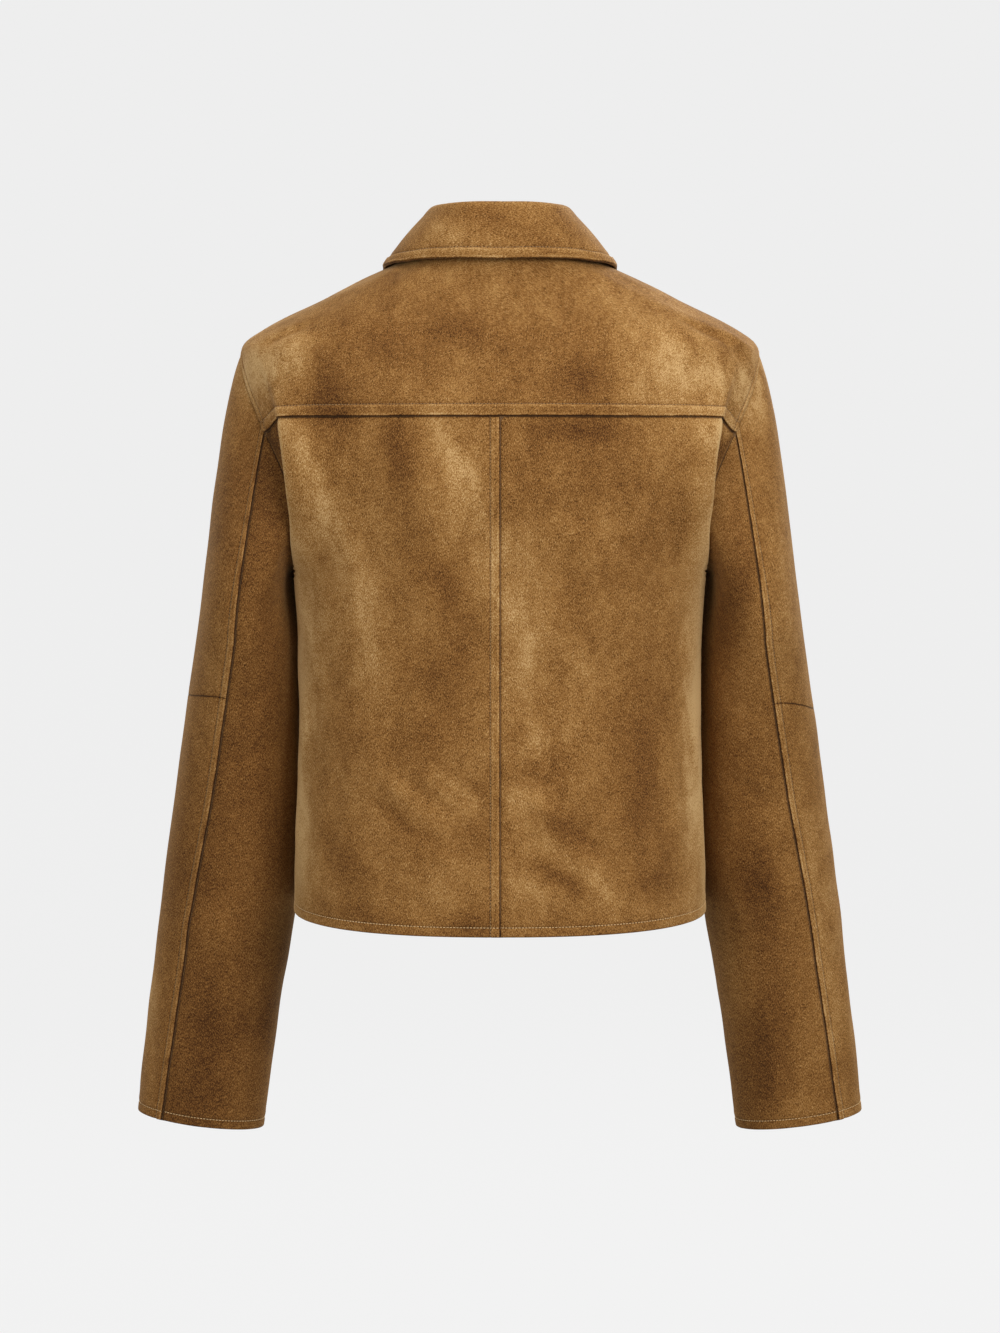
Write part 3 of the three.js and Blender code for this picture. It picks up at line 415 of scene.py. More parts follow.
class BodyForm:
    """The surface of the body, by the angle from the centre back and v, the distance up the cloth."""

    def smooth(self, angle: Array, v: Array) -> Array:
        """A point on the smooth body: an oval with powers of sine and cosine, blended up the cloth."""
        a = np.radians(angle)
        sine, cosine = np.sin(a), np.abs(np.cos(a))
        behind = np.cos(a) >= 0
        n = BODY.at("n", v)
        radius = (np.abs(sine) ** n + cosine**n) ** (-1 / n)
        depth = np.where(behind, BODY.at("back_y", v), BODY.at("front_y", v))
        side_z = BODY.at("side_z", v)
        rise = np.where(behind, BODY.at("back_z", v), BODY.at("front_z", v)) - side_z
        return stacked(BODY.at("half", v) * radius * sine, depth * radius * cosine, side_z + rise * cosine**1.5)

    def fold(self, angle: Array, v: Array) -> Array:
        """The height of the fold beside the armhole: a bell that is steep on its outer side."""
        off = np.abs(angle) - ARMHOLE_FOLD.at("angle", v)
        reach = np.where(off > 0, FOLD_OUTER_REACH, FOLD_INNER_REACH)
        low, high = ARMHOLE_FOLD.key[0], ARMHOLE_FOLD.key[-1]
        height = np.where((v > low) & (v < high), np.maximum(ARMHOLE_FOLD.at("height", v), 0), 0)
        return height * np.exp(-((off / reach) ** 2))

    def fold_shade(self, angle: Array, v: Array) -> Array:
        """Painted shade behind the fold, a painted highlight on its crest, and painted rim light towards its edge
        and the turn of the side.

        The paler tone falls off as a power of e with the distance in from the outline.
        """
        edge = np.minimum(ARMHOLE_FOLD.at("angle", v), OUTLINE_TURN)
        off = np.abs(angle) - edge
        size = np.clip(self.fold(np.sign(angle) * edge, v) / FOLD_FULL, 0, 1)
        inward = np.abs(self.smooth(edge, v)[..., 0]) - np.abs(self.smooth(angle, v)[..., 0])
        low = 1 - soft_step(*RIM_LIGHT_FADE, v)
        strength = RIM_LIGHT * (RIM_LIGHT_ABOVE + (1 - RIM_LIGHT_ABOVE) * low)
        # Painted rim light, falling off inwards from the outline
        pale_rim = strength * np.exp(-np.maximum(inward, 0) / RIM_LIGHT_REACH)
        pale_rim *= 1 - soft_step(0, np.where(v < UNDERARM_V, RIM_LIGHT_ENDS_LOW, RIM_LIGHT_ENDS_HIGH), off)
        # Painted highlight on the fold's crest, and painted shade in the recess behind it
        paler, darker = FOLD_CREST[0] * bump(off, *FOLD_CREST[1:]), FOLD_BEHIND[0] * soft_step(*FOLD_BEHIND[1:], off)
        return pale_rim + size * (paler - darker)

    def relief(self, angle: Array, v: Array) -> Array:
        """How far the cloth stands off the smooth body: folds, creases and a faint swell."""
        across = angle * MM_PER_DEGREE
        creases = crease_height(BROAD_CREASES + FINE_CREASES, across, v, MM_PER_DEGREE)
        calm = soft_step(0, 30, v) * soft_step(0, 40, NECK_V - v) * soft_step(*LAP_CALM, 180 - np.abs(angle))
        return self.fold(angle, v) + creases + SWELL * calm * waves(across, v, 4, SWELL_LENGTH)

    def point(self, angle: Array, v: Array) -> Array:
        """A point on the outer face of the body."""
        angle, v = np.broadcast_arrays(np.asarray(angle, float), np.asarray(v, float))
        normal = normal_of(self.smooth, angle, v, 0.2, 0.5)
        return self.smooth(angle, v) + normal * self.relief(angle, v)[..., None]

    def normal(self, angle: Array, v: Array) -> Array:
        """The outward normal of the outer face."""
        return normal_of(self.point, np.asarray(angle, float), np.asarray(v, float), 0.3, 0.8)


BODY_FORM = BodyForm()
ARMHOLE_MIDDLE = (SHOULDER_V + UNDERARM_V) / 2
ARMHOLE_HALF = (SHOULDER_V - UNDERARM_V) / 2


def armhole(turn: Array) -> tuple[Array, Array]:
    """The armhole's edge as angle and v: an egg round its middle, from the shoulder to the back."""
    t = np.radians(turn)
    opening = np.where(np.sin(t) >= 0, ARMHOLE_BACK, ARMHOLE_FRONT) - ARMHOLE_EGG * np.cos(t)
    return 90 - opening * np.sin(t), ARMHOLE_MIDDLE + ARMHOLE_HALF * np.cos(t)


def turn_at_v(v: Array) -> Array:
    """The turn round the armhole at which its edge has a v, on its back half."""
    return np.degrees(np.arccos(np.clip((v - ARMHOLE_MIDDLE) / ARMHOLE_HALF, -1, 1)))


def outer_angle(v: Array, front: bool) -> Array:
    """The outer edge of a back or front piece: side seam, then armhole, then shoulder seam."""
    v = np.asarray(v, float)
    shoulder = 90 + SHOULDER_SEAM_FORWARD * soft_step(SHOULDER_V, SHOULDER_V + 30, v)
    edge = armhole(-turn_at_v(v) if front else turn_at_v(v))[0]
    return np.where(v <= UNDERARM_V, 90.0, np.where(v >= SHOULDER_V, shoulder, edge))


def yoke_seam(angle: Array) -> Array:
    """The v of the yoke seam: level over the back, and down where it turns under the fold."""
    under = YOKE_CORNER_DROP * soft_step(YOKE_TURN - 1, YOKE_TURN + 11, angle)
    return YOKE_V - YOKE_SAG * np.minimum(angle / YOKE_TURN, 1) ** 2 - under


CORNER_V = float(yoke_seam(90))
BACK_SEAM_TURN = float(turn_at_v(CORNER_V))


def back_column(share: Array, v: Array) -> Array:
    """The angle of a column of the back or yoke. A share of 1 is the outer edge."""
    return 90 * share - (90 - outer_angle(v, False)) * share**2


def front_angle(v: Array, past: float) -> Array:
    """The angle of a place beside the centre front, past millimetres beyond it."""
    return 180 + past / BODY_FORM.point(179.0, v)[..., 0]


def under_lap(x: Array) -> Array:
    """How far the left front lies inside the body's surface, under the right one."""
    return UNDER_LAP_DEPTH * (1 - soft_step(BUTTON_LAP + 1, BUTTON_LAP + LAP_STEP, x))


@dataclass(frozen=True)
class SleeveForm:
    """The surface of one sleeve, by the turn from its outer side to the back and its reach.

    reach is 0 at the armhole, 1 where the cap ends and 2 at the cuff.
    """

    side: int

    def straight(self, turn: Array, drop: Array) -> Array:
        """A point on the sleeve below its cap: a tilted ellipse, with x counted outwards."""
        t = np.radians(turn)
        x = SLEEVE.at("half", drop) * np.cos(t)
        y = SLEEVE.at("depth", drop) * np.sin(t)
        z = SLEEVE.at("slope_x", drop) * x + SLEEVE.at("slope_y", drop) * y - drop
        return stacked(SLEEVE.at("x", drop) + x, SLEEVE.at("y", drop) + y, z)

    def cap(self, turn: Array, reach: Array) -> Array:
        """A point on the cap: a Bezier curve from the armhole's edge to the straight sleeve."""
        turn = np.where(turn > 180, turn - 360, turn)
        angle, v = armhole(turn)
        start = BODY_FORM.point(self.side * angle, v) * (self.side, 1, 1)
        end = self.straight(turn, np.full_like(turn, SLEEVE_TOP_DROP))
        down = unit(self.straight(turn, np.full_like(turn, SLEEVE_TOP_DROP + 1)) - end)
        length = np.linalg.norm(end - start, axis=-1, keepdims=True)
        size = np.abs(turn)
        back = np.sign(turn) * CAP_LEAVES.at("back", size)
        leave = unit(stacked(CAP_LEAVES.at("outward", size), back, CAP_LEAVES.at("up", size)))
        first, second = start + leave * length * CAP_START_PULL, end - down * length * CAP_END_PULL
        return bezier(start, first, second, end, reach[..., None])

    def point(self, turn: Array, reach: Array) -> Array:
        """A point on the outer face, in the row's frame, with its creases and a faint swell."""
        turn, reach = np.broadcast_arrays(np.asarray(turn, float), np.asarray(reach, float))
        drop = SLEEVE_TOP_DROP + SLEEVE_LENGTH * (np.maximum(reach, 1) - 1)
        held = np.clip(reach, 0, 1)
        at = np.where((reach >= 1)[..., None], self.straight(turn, drop), self.cap(turn, held))
        wrapped = np.where(turn > 180, turn - 360, turn)
        height = crease_height(SLEEVE_CREASES[self.side], wrapped, -at[..., 2], 1.0)
        height *= SLEEVE_CREASE_GAIN * soft_step(0.9, 1.1, reach)
        swell = waves(SLEEVE_HALF * np.cos(np.radians(turn)), at[..., 2], 7 + self.side, SLEEVE_SWELL_LENGTH)
        height += SLEEVE_SWELL * soft_step(0, 0.4, reach) * swell
        lean = np.maximum(HUG.at("lean", -at[..., 2]), 0) * soft_step(0.03, 0.3, reach)
        height += lean * bump(np.mod(turn, 360), HUG_TURN, HUG_REACH)
        centre = stacked(SLEEVE.at("x", drop), SLEEVE.at("y", drop), at[..., 2])
        return (at + unit(at - centre) * height[..., None]) * (self.side, 1, 1)

    def seam(self, column: str, at_armhole: float, reach: Array) -> Array:
        """The turn of a long seam: from the table, and blended to its place at the armhole."""
        drop = SLEEVE_TOP_DROP + SLEEVE_LENGTH * (np.maximum(reach, 1) - 1)
        top = float(SLEEVE.columns[column][0])
        cap = at_armhole + (top - at_armhole) * soft_step(0, 1, reach)
        return np.where(reach >= 1, SLEEVE.at(column, drop), cap)

    def back_seam(self, reach: Array) -> Array:
        """The turn of the back seam."""
        return self.seam("back", BACK_SEAM_TURN, reach)

    def front_seam(self, reach: Array) -> Array:
        """The turn of the front seam."""
        return self.seam("front", FRONT_SEAM_AT_ARMHOLE, reach)

    def elbow(self, turn: Array) -> Array:
        """The reach of the elbow seam at a turn."""
        at_seam, at_outer = ELBOW_DROPS[self.side]
        drop = at_outer + (at_seam - at_outer) * soft_step(0, 80, np.abs(turn))
        return 1 + (drop - SLEEVE_TOP_DROP) / SLEEVE_LENGTH


class CollarForm:
    """The visible face of the collar: up its stand, over the fold and down the fall."""

    def neck(self, turn: Array) -> tuple[Array, Array]:
        """The neck seam's points on the inner face of the body's edge, and the way up from them."""
        size = np.abs(turn)
        edge = BODY_FORM.point(size, np.full_like(size, NECK_V))
        lapped = np.where(turn > 0, under_lap(edge[..., 0]), 0.0)
        normal = BODY_FORM.normal(size, np.full_like(size, NECK_V))
        up = unit(edge - BODY_FORM.point(size, np.full_like(size, NECK_V - 2)))
        return edge - normal * (CLOTH + lapped)[..., None] + up * SEAM_GAP, up

    def point(self, turn: Array, share: Array) -> Array:
        """A point at a turn round the neck and a share of the way from the seam to the edge.

        The stand is a Bezier curve, the roll half a circle, and the fall a line that bows out.
        """
        turn, share = np.broadcast_arrays(np.asarray(turn, float), np.asarray(share, float))
        size = np.abs(turn)
        neck, up = self.neck(turn)
        edge_turn, edge_v = COLLAR.at("edge_turn", size), COLLAR.at("edge_v", size)
        off = COLLAR.at("off", size)[..., None]
        edge = BODY_FORM.point(edge_turn, edge_v) + BODY_FORM.normal(edge_turn, edge_v) * off
        fold = stacked(COLLAR.at("fold_x", size), COLLAR.at("fold_y", size), COLLAR.at("fold_z", size))
        outward = unit((edge - neck) * (1, 1, 0))
        rise = np.array((0.0, 0.0, 1.0))
        u = np.clip(share / STAND_END, 0, 1)[..., None]
        top = fold - outward * ROLL
        length = np.linalg.norm(top - neck, axis=-1, keepdims=True)
        low, high = neck + up * STAND_LOW_PULL * length, top - rise * STAND_HIGH_PULL * length
        stand = bezier(neck, low, high, top, u)
        turned = math.pi * np.clip((share - STAND_END) / (FALL_START - STAND_END), 0, 1)[..., None]
        roll = fold - outward * ROLL * np.cos(turned) + rise * ROLL * np.sin(turned)
        w = np.clip((share - FALL_START) / (1 - FALL_START), 0, 1)[..., None]
        fall = (fold + outward * ROLL) * (1 - w) + edge * w + outward * FALL_CROWN * np.sin(math.pi * w)
        s = share[..., None]
        made = np.where(s < STAND_END, stand, np.where(s < FALL_START, roll, fall))
        return made * stacked(np.where(turn < 0, -1.0, 1.0), 1.0, 1.0)


# Edges and grids


class Side(Enum):
    """The four edges of a grid: its first and last column, and its first and last row."""

    START = "start"
    END = "end"
    BOTTOM = "bottom"
    TOP = "top"


SINK_REACH = 2.2
BAND_UNEVEN = 0.22
BAND_WAVE = 34.0
BAND_PUFF = 0.3
GROOVE_DEPTH = 0.5
GROOVE_REACH = 0.75
SWELL_BESIDE = 0.28  # the cloth's swell past a row of stitches
SWELL_BESIDE_OFF = 3.6
SWELL_BESIDE_REACH = 3.0
EDGE_THINNED = 0.7  # how much thinner a free edge is, over EDGE_ROUND
EDGE_ROUND = 0.8
SEAM_THICKNESS = 0.4  # share of the thickness that is left at a seam
SEAM_TAPER = 5.0


@dataclass(frozen=True)
class Edge:
    """How one edge of a cut piece is finished, in millimetres from the seam."""

    band: float = 0.0  # from the edge to its row of stitches
    rise: float = 0.0  # how far the band stands proud
    roll: float = 0.9  # radius over which the edge turns in
    sink: float = 0.0  # how far the cloth beside the edge dips under its neighbour
    worn_and_lit: float = 0.0  # how much paler the edge is: rubbed wear with a painted highlight
    dark: float = 0.5  # how dark the groove of the seam is: a dark joint with painted shade in it
    stitched: bool = False
    pale_thread: bool = False
    open: bool = False  # a free edge, with its full thickness

    def marks(self) -> list[float]:
        """Distances from the edge at which a grid has lines, close together where the relief turns."""
        first = [0.0, 0.2, 0.5, 0.9, 1.4, 2.2, 3.4]
        if not self.band:
            return first + [5.0, 7.0]
        near = (-1.6, -1.0, -0.6, -0.2, 0.2, 0.6, 1.1, 2.2, 4.0)
        return first + [self.band + step for step in near if self.band + step > first[-1] + 0.5]

    def height(self, d: Array, along: Array) -> Array:
        """The relief at a distance from the edge: a puffed band, a stitched groove and a rolled edge."""
        total = -self.sink * np.exp(-((d / SINK_REACH) ** 2))
        inward = np.clip(1 - d / self.roll, 0, 1)
        total -= self.roll * (1 - np.sqrt(1 - inward**2))
        if self.band:
            uneven = 1 + BAND_UNEVEN * waves(along, 0 * along, 11, BAND_WAVE)
            puff = 1 - BAND_PUFF * (2 * np.clip(d / self.band, 0, 1) - 1) ** 2
            total += self.rise * uneven * puff * (1 - soft_step(self.band - 0.9, self.band + 0.5, d))
        if self.stitched:
            swell = SWELL_BESIDE * bump(d, self.band + SWELL_BESIDE_OFF, SWELL_BESIDE_REACH)
            total += swell - GROOVE_DEPTH * bump(d, self.band, GROOVE_REACH)
        return total

    def tone(self, d: Array, along: Array) -> Array:
        """Paler above 0 where the edge is rubbed and has a painted highlight, and darker below 0 down in the seam
        and the stitches, a dark joint with painted shade in it.
        """
        # Wear with a painted highlight on the rim and the band's crest, painted shade in the seam's groove and along
        # the stitches
        pale_rim = self.worn_and_lit * (0.75 + 0.5 * waves(along, 0 * along, 12, 50)) * bump(d, 1.3, 0.9)
        groove = -self.dark * np.exp(-((d / 0.75) ** 2))
        stitches = -0.16 * bump(d, self.band, 0.7) if self.stitched else 0.0
        crest = 0.8 * self.worn_and_lit * bump(d, self.band - 1.2, 0.7) if self.stitched else 0.0
        return pale_rim + groove + stitches + crest


# Paler edges here are rubbed wear with a painted highlight, and dark grooves are dark joints with painted shade in
# them
LAPPED = Edge(band=YOKE_BAND, rise=1.4, worn_and_lit=0.24, dark=0.7, stitched=True)
UNDER_LAP = Edge(roll=0.6, sink=0.7, dark=0.9)
BACK_RIDGE = Edge(band=BACK_SEAM_BAND, rise=0.6, worn_and_lit=0.2, dark=0.45, stitched=True)
SLEEVE_RIDGE = Edge(band=SLEEVE_SEAM_BAND, rise=0.85, worn_and_lit=0.24, dark=0.7, stitched=True)
SUNK_SIDE = Edge(roll=0.7, sink=0.8, dark=0.75)
PLAIN_SEAM = Edge(roll=0.5, sink=0.1, dark=0.45)
HEM = Edge(band=HEM_BAND, rise=0.35, worn_and_lit=0.0, dark=0.25, stitched=True, pale_thread=True, open=True)
ARMHOLE_STITCHED = Edge(band=ARMHOLE_BAND, rise=0.6, worn_and_lit=0.1, dark=0.8, stitched=True)
ARMHOLE_PLAIN = Edge(roll=0.8, sink=0.1, worn_and_lit=0.35, dark=0.6)
ARMHOLE_SLEEVE = Edge(roll=1.0, sink=0.6, dark=0.8)
COLLAR_EDGE = Edge(band=COLLAR_BAND, rise=1.2, worn_and_lit=0.26, dark=0.3, stitched=True, open=True)
FRONT_EDGE = Edge(band=FRONT_EDGE_BAND, rise=0.4, worn_and_lit=0.08, dark=0.25, stitched=True, open=True)
NECK_EDGE = Edge(roll=0.5, dark=0.4)


def graded(total: float, first: list[float], last: list[float], step: float) -> Array:
    """Places from 0 to 1 with the given distances at each end and even steps between them."""
    inner = total - first[-1] - last[-1]
    count = max(int(round(inner / step)), 2)
    middle = first[-1] + inner * np.arange(1, count) / count
    return np.concatenate([first, middle, total - np.array(last[::-1])]) / total


def run_length(points: Array, axis: int) -> Array:
    """The length along a grid's lines from their first point, along one axis."""
    steps = np.linalg.norm(np.diff(points, axis=axis), axis=-1)
    return np.cumsum(np.insert(steps, 0, 0, axis=axis), axis=axis)


def even_shares(surface: Surface, rows: Array, first: list[float], last: list[float], step: float) -> Array:
    """Shares across each row, so that columns keep true distances from both edges.

    The length along each row is tabulated at even shares, and read backwards at the wanted
    distances: fixed ones beside the edges, and evenly spread ones between them.

    Args:
        surface: Points for shares and rows.
        rows: The row values.
        first: Distances from the first edge.
        last: Distances from the last edge.
        step: Millimetres between columns elsewhere.

    Returns:
        A grid of shares, one row for each row value.
    """
    fine = np.linspace(0, 1, 260)[None, :] + 0 * rows[:, None]
    length = run_length(surface(fine, rows[:, None] + 0 * fine), 1)
    total = length[:, -1:]
    squeeze = np.minimum(1, 0.44 * total / max(first[-1], last[-1]))
    count = max(int(round((float(total.max()) - first[-1] - last[-1]) / step)), 2)
    low, high = np.array(first)[None, :] * squeeze, total - np.array(last[::-1])[None, :] * squeeze
    middle = low[:, -1:] + (high[:, :1] - low[:, -1:]) * np.arange(1, count)[None, :] / count
    wanted = np.concatenate([low, middle, high], axis=1)
    apart = 2 * float(total.max()) * np.arange(len(rows))[:, None]
    return np.interp((wanted + apart).ravel(), (length + apart).ravel(), fine.ravel()).reshape(wanted.shape)


STEP = 4.0  # millimetres between lines of a grid, away from its edges
OVERALL_TINT = -0.025


@dataclass(frozen=True)
class Cut:
    """The flat size of what shows of a piece, in metres, how it is held, and what it hangs from."""

    width: float
    length: float
    area: float
    held: str
    rests_on: tuple[str, ...]


@dataclass
class Cloth:
    """One cut piece of suede: a closed wall over a grid of points, with its four edges finished."""

    name: str
    surface: Surface  # points for shares across and row values
    rows: Array
    sign: int  # 1 where rows crossed with columns point out of the cloth
    edges: dict[Side, Edge]
    cut: Cut
    seed: int
    tint: float = 0.0  # paler above 0, darker below; the sleeves use it for painted shade
    step: float = 4.2  # millimetres between columns away from the edges
    shade: Callable | None = None  # painted light and shade for shares across and row values
    stitch_lines: list[tuple[Array, Array, bool]] = field(default_factory=list)

    def build(self) -> bpy.types.Object:
        """Makes the wall.

        The outer face is the surface moved out by the edges' relief, the inner one lies a
        cloth's thickness inside it, and strips of faces close the four sides.

        Returns:
            The object, with its tone, nap and UV map.
        """
        edge = self.edges
        shares = even_shares(self.surface, self.rows, edge[Side.START].marks(), edge[Side.END].marks(), self.step)
        base = self.surface(shares, self.rows[:, None] + 0 * shares)
        across, up = np.gradient(base, axis=1), np.gradient(base, axis=0)
        normal = unit(self.sign * np.cross(up, across))
        width, length = run_length(base, 1), run_length(base, 0)
        away = {
            Side.START: width,
            Side.END: width[:, -1:] - width,
            Side.BOTTOM: length,
            Side.TOP: length[-1:, :] - length,
        }
        lie = {Side.START: length, Side.END: length + 300, Side.BOTTOM: width, Side.TOP: width + 300}
        height = sum(edge[s].height(away[s], lie[s]) for s in Side)
        tone = sum(edge[s].tone(away[s], lie[s]) for s in Side)
        thick = np.full(height.shape, CLOTH)
        for s in Side:
            inward = np.clip(1 - away[s] / EDGE_ROUND, 0, 1)
            if edge[s].open:
                thick = thick - EDGE_THINNED * (1 - np.sqrt(1 - inward**2))
            else:
                thick = thick * (SEAM_THICKNESS + (1 - SEAM_THICKNESS) * soft_step(0, SEAM_TAPER, away[s]))
        outer = base + normal * height[..., None]
        inner = base - normal * thick[..., None]
        for s in Side:
            if edge[s].stitched:
                line = line_at(outer, normal, away[s], s, edge[s].band)
                self.stitch_lines.append((*line, edge[s].pale_thread))
        made = shell_mesh(f"{self.name}_suede", outer, inner, self.sign)
        # Both attributes carry painted light and shade: the strokes and the sleeves' darker tint go into nap, and
        # the shade and highlights of seams, bends and the fold into tone
        nap_and_light = nap_and_light_marks(outer, normal) + self.tint + OVERALL_TINT
        tone = tone + fold_wear_and_shade(outer, normal)
        if self.shade:
            tone = tone + self.shade(shares, self.rows[:, None] + 0 * shares)
        set_attribute(made, "nap_and_light", np.concatenate([nap_and_light.ravel(), nap_and_light.ravel()]))
        set_attribute(made, "tone", np.concatenate([tone.ravel(), 0 * tone.ravel()]))
        cloth_uv = np.stack([width + 37.0 * self.seed, length + 91.0 * self.seed], axis=-1) * MM
        set_uv(made, np.concatenate([cloth_uv.reshape(-1, 2)] * 2))
        return made


def line_at(outer: Array, normal: Array, away: Array, side: Side, distance: float) -> tuple[Array, Array]:
    """The line on a grid that keeps a distance from one edge, as points and normals.

    Each grid line across that edge is read where its distance passes the wanted one.
    """
    if side in (Side.BOTTOM, Side.TOP):
        outer, normal, away = (np.swapaxes(a, 0, 1) for a in (outer, normal, away))
    if side in (Side.END, Side.TOP):
        outer, normal, away = outer[:, ::-1], normal[:, ::-1], away[:, ::-1]
    k = np.clip((away < distance).sum(axis=1), 1, away.shape[1] - 1)
    i = np.arange(len(k))
    share = ((distance - away[i, k - 1]) / (away[i, k] - away[i, k - 1]))[:, None]
    points = outer[i, k - 1] * (1 - share) + outer[i, k] * share
    return points, unit(normal[i, k - 1] * (1 - share) + normal[i, k] * share)


def shell_mesh(name: str, outer: Array, inner: Array, sign: int) -> bpy.types.Object:
    """A closed wall between two grids of points, with its second material on the inner face."""
    rows, columns = outer.shape[:2]
    index = np.arange(rows * columns).reshape(rows, columns)
    a, b, c, d = index[:-1, :-1], index[:-1, 1:], index[1:, 1:], index[1:, :-1]
    face = np.stack([a, b, c, d], axis=-1).reshape(-1, 4)
    back = face[:, ::-1] + rows * columns

    def strip(line: Array) -> Array:
        """Faces between the outer and inner points of a line of the border."""
        return np.stack([line[:-1], line[:-1] + rows * columns, line[1:] + rows * columns, line[1:]], axis=-1)

    border = [strip(index[0, :]), strip(index[:, -1]), strip(index[-1, ::-1]), strip(index[::-1, 0])]
    faces = np.concatenate([face, back, *border])
    if sign > 0:
        faces = faces[:, ::-1]
    inside = np.zeros(len(faces), np.int32)
    inside[len(face) : 2 * len(face)] = 1
    points = np.concatenate([outer.reshape(-1, 3), inner.reshape(-1, 3)]) * MM
    return mesh_object(name, points, faces, inside)


def mesh_object(name: str, points: Array, faces: Array, slots: Array | None = None) -> bpy.types.Object:
    """A smooth-shaded object from points in metres and faces of four corners.

    A face that names a point twice running is made a triangle.
    """
    kept = faces != np.roll(faces, -1, axis=1)
    corners, size = faces[kept], kept.sum(axis=1)
    mesh = bpy.data.meshes.new(name)
    mesh.vertices.add(len(points))
    mesh.vertices.foreach_set("co", np.ascontiguousarray(points, np.float32).ravel())
    mesh.loops.add(len(corners))
    mesh.loops.foreach_set("vertex_index", corners.astype(np.int32))
    mesh.polygons.add(len(faces))
    mesh.polygons.foreach_set("loop_start", (np.cumsum(size) - size).astype(np.int32))
    if slots is not None:
        mesh.polygons.foreach_set("material_index", slots)
    mesh.update(calc_edges=True)
    mesh.validate()
    mesh.shade_smooth()
    made = bpy.data.objects.new(name, mesh)
    bpy.context.scene.collection.objects.link(made)
    return made


def set_attribute(made: bpy.types.Object, name: str, values: Array) -> None:
    """Gives the object's points a number each."""
    made.data.attributes.new(name, "FLOAT", "POINT").data.foreach_set("value", values.astype(np.float32))


def set_uv(made: bpy.types.Object, per_point: Array) -> None:
    """Gives the object a UV map from one pair a point."""
    mesh = made.data
    corner = np.zeros(len(mesh.loops), np.int32)
    mesh.loops.foreach_get("vertex_index", corner)
    mesh.uv_layers.new(name="cloth").data.foreach_set("uv", per_point[corner].astype(np.float32).ravel())


# Strokes on the back, mostly brushed nap and some painted light and shade: x, z, half length, half width, turn in
# degrees, strength
NAP_AND_LIGHT_STROKES = (
    (34, -153, 37, 13, 60, 0.30),
    (8, -228, 54, 17, 75, 0.14),
    (-19, -289, 46, 17, 90, 0.14),
    (134, -192, 32, 11, 70, 0.28),
    (106, -271, 63, 15, 88, 0.15),
    (154, -141, 20, 8, 65, 0.20),
    (-35, -371, 28, 14, -15, 0.18),
    (-19, -410, 19, 12, 0, 0.15),
    (-60, -466, 45, 8, 38, 0.18),
    (-31, -485, 23, 7, 25, 0.12),
    # Painted rim light down both sides of the back
    (-154, -381, 86, 9, 90, 0.28),
    (157, -421, 79, 8, 90, 0.18),
    (-58, -305, 20, 8, 50, 0.12),
    (-76, -194, 28, 8, 30, 0.08),
    (78, -144, 38, 12, 78, -0.19),
    (50, -240, 35, 18, 60, -0.16),
    (130, -116, 20, 11, 0, -0.16),
    (50, -320, 25, 20, 0, -0.12),
    (55, -365, 22, 13, 10, -0.08),
    (23, -444, 28, 17, 0, -0.16),
    (120, -466, 33, 16, 60, -0.12),
    (23, -511, 23, 11, 0, -0.18),
    (109, -507, 47, 9, 5, -0.12),
    (-61, -129, 29, 11, 5, -0.22),
    (-69, -171, 38, 19, 90, -0.08),
    (-105, -373, 77, 21, 88, -0.18),
    (-121, -483, 25, 12, 0, -0.12),
    (-48, -435, 22, 8, 40, -0.18),
    (-46, -474, 23, 5, 30, -0.18),
    (-151, -150, 12, 10, 0, -0.12),
    (169, -81, 28, 22, -30, 0.32),
    (-150, -82, 50, 22, 38, 0.30),
    (-112, -92, 30, 22, 0, 0.10),
    (-196, -92, 14, 26, 0, 0.30),
    (196, -92, 14, 26, 0, 0.20),
    (148, -300, 60, 12, 90, 0.14),
    (131, -95, 18, 22, 0, -0.18),
    (88, -65, 32, 17, 20, -0.12),
    (37, -53, 25, 12, 10, -0.15),
    (-61, -91, 23, 17, 0, -0.22),
    (-31, -60, 46, 17, 0, -0.08),
    # Painted light and shade of fine creases on the lower left back panel
    (26, -410, 16, 4, 43, 0.10),
    (18, -402, 16, 4, 43, -0.08),
    (49, -438, 14, 4, 30, 0.08),
    (77, -431, 20, 5, 36, -0.09),
    (64, -415, 22, 5, 40, 0.06),
    (92, -467, 18, 4, 25, 0.08),
    (104, -470, 14, 5, 36, -0.08),
    (15, 36, 25, 11, 10, -0.16),
    (38, 18, 32, 9, 20, 0.12),
    (-173, -131, 12, 19, 80, 0.22),
    # The dark strokes on the sleeves' inner sides, by the body, are painted shade, and the pale ones down their
    # outer sides painted rim light
    (252, -473, 57, 21, 100, -0.08),
    (244, -636, 66, 25, 95, -0.08),
    (202, -615, 28, 16, 90, -0.10),
    (287, -607, 50, 8, 97, 0.14),
    (-225, -237, 72, 13, 85, 0.06),
    (-269, -554, 74, 12, 84, 0.14),
    (-212, -500, 34, 16, 80, -0.20),
    (-219, -645, 50, 18, 90, -0.20),
    (-275, -663, 28, 17, 0, -0.10),
    (-183, -270, 48, 12, 105, -0.16),
)


# Bends of the cloth: ridges paler, partly wear and partly painted highlight, and hollows darker with painted shade
WEAR_AND_SHADE_GAIN = 0.5
WEAR_AND_SHADE_BIAS = 0.012
WEAR_AND_SHADE_LIMIT = 0.05
MIRRORED_STROKES = 0.55  # strength of the strokes on the front


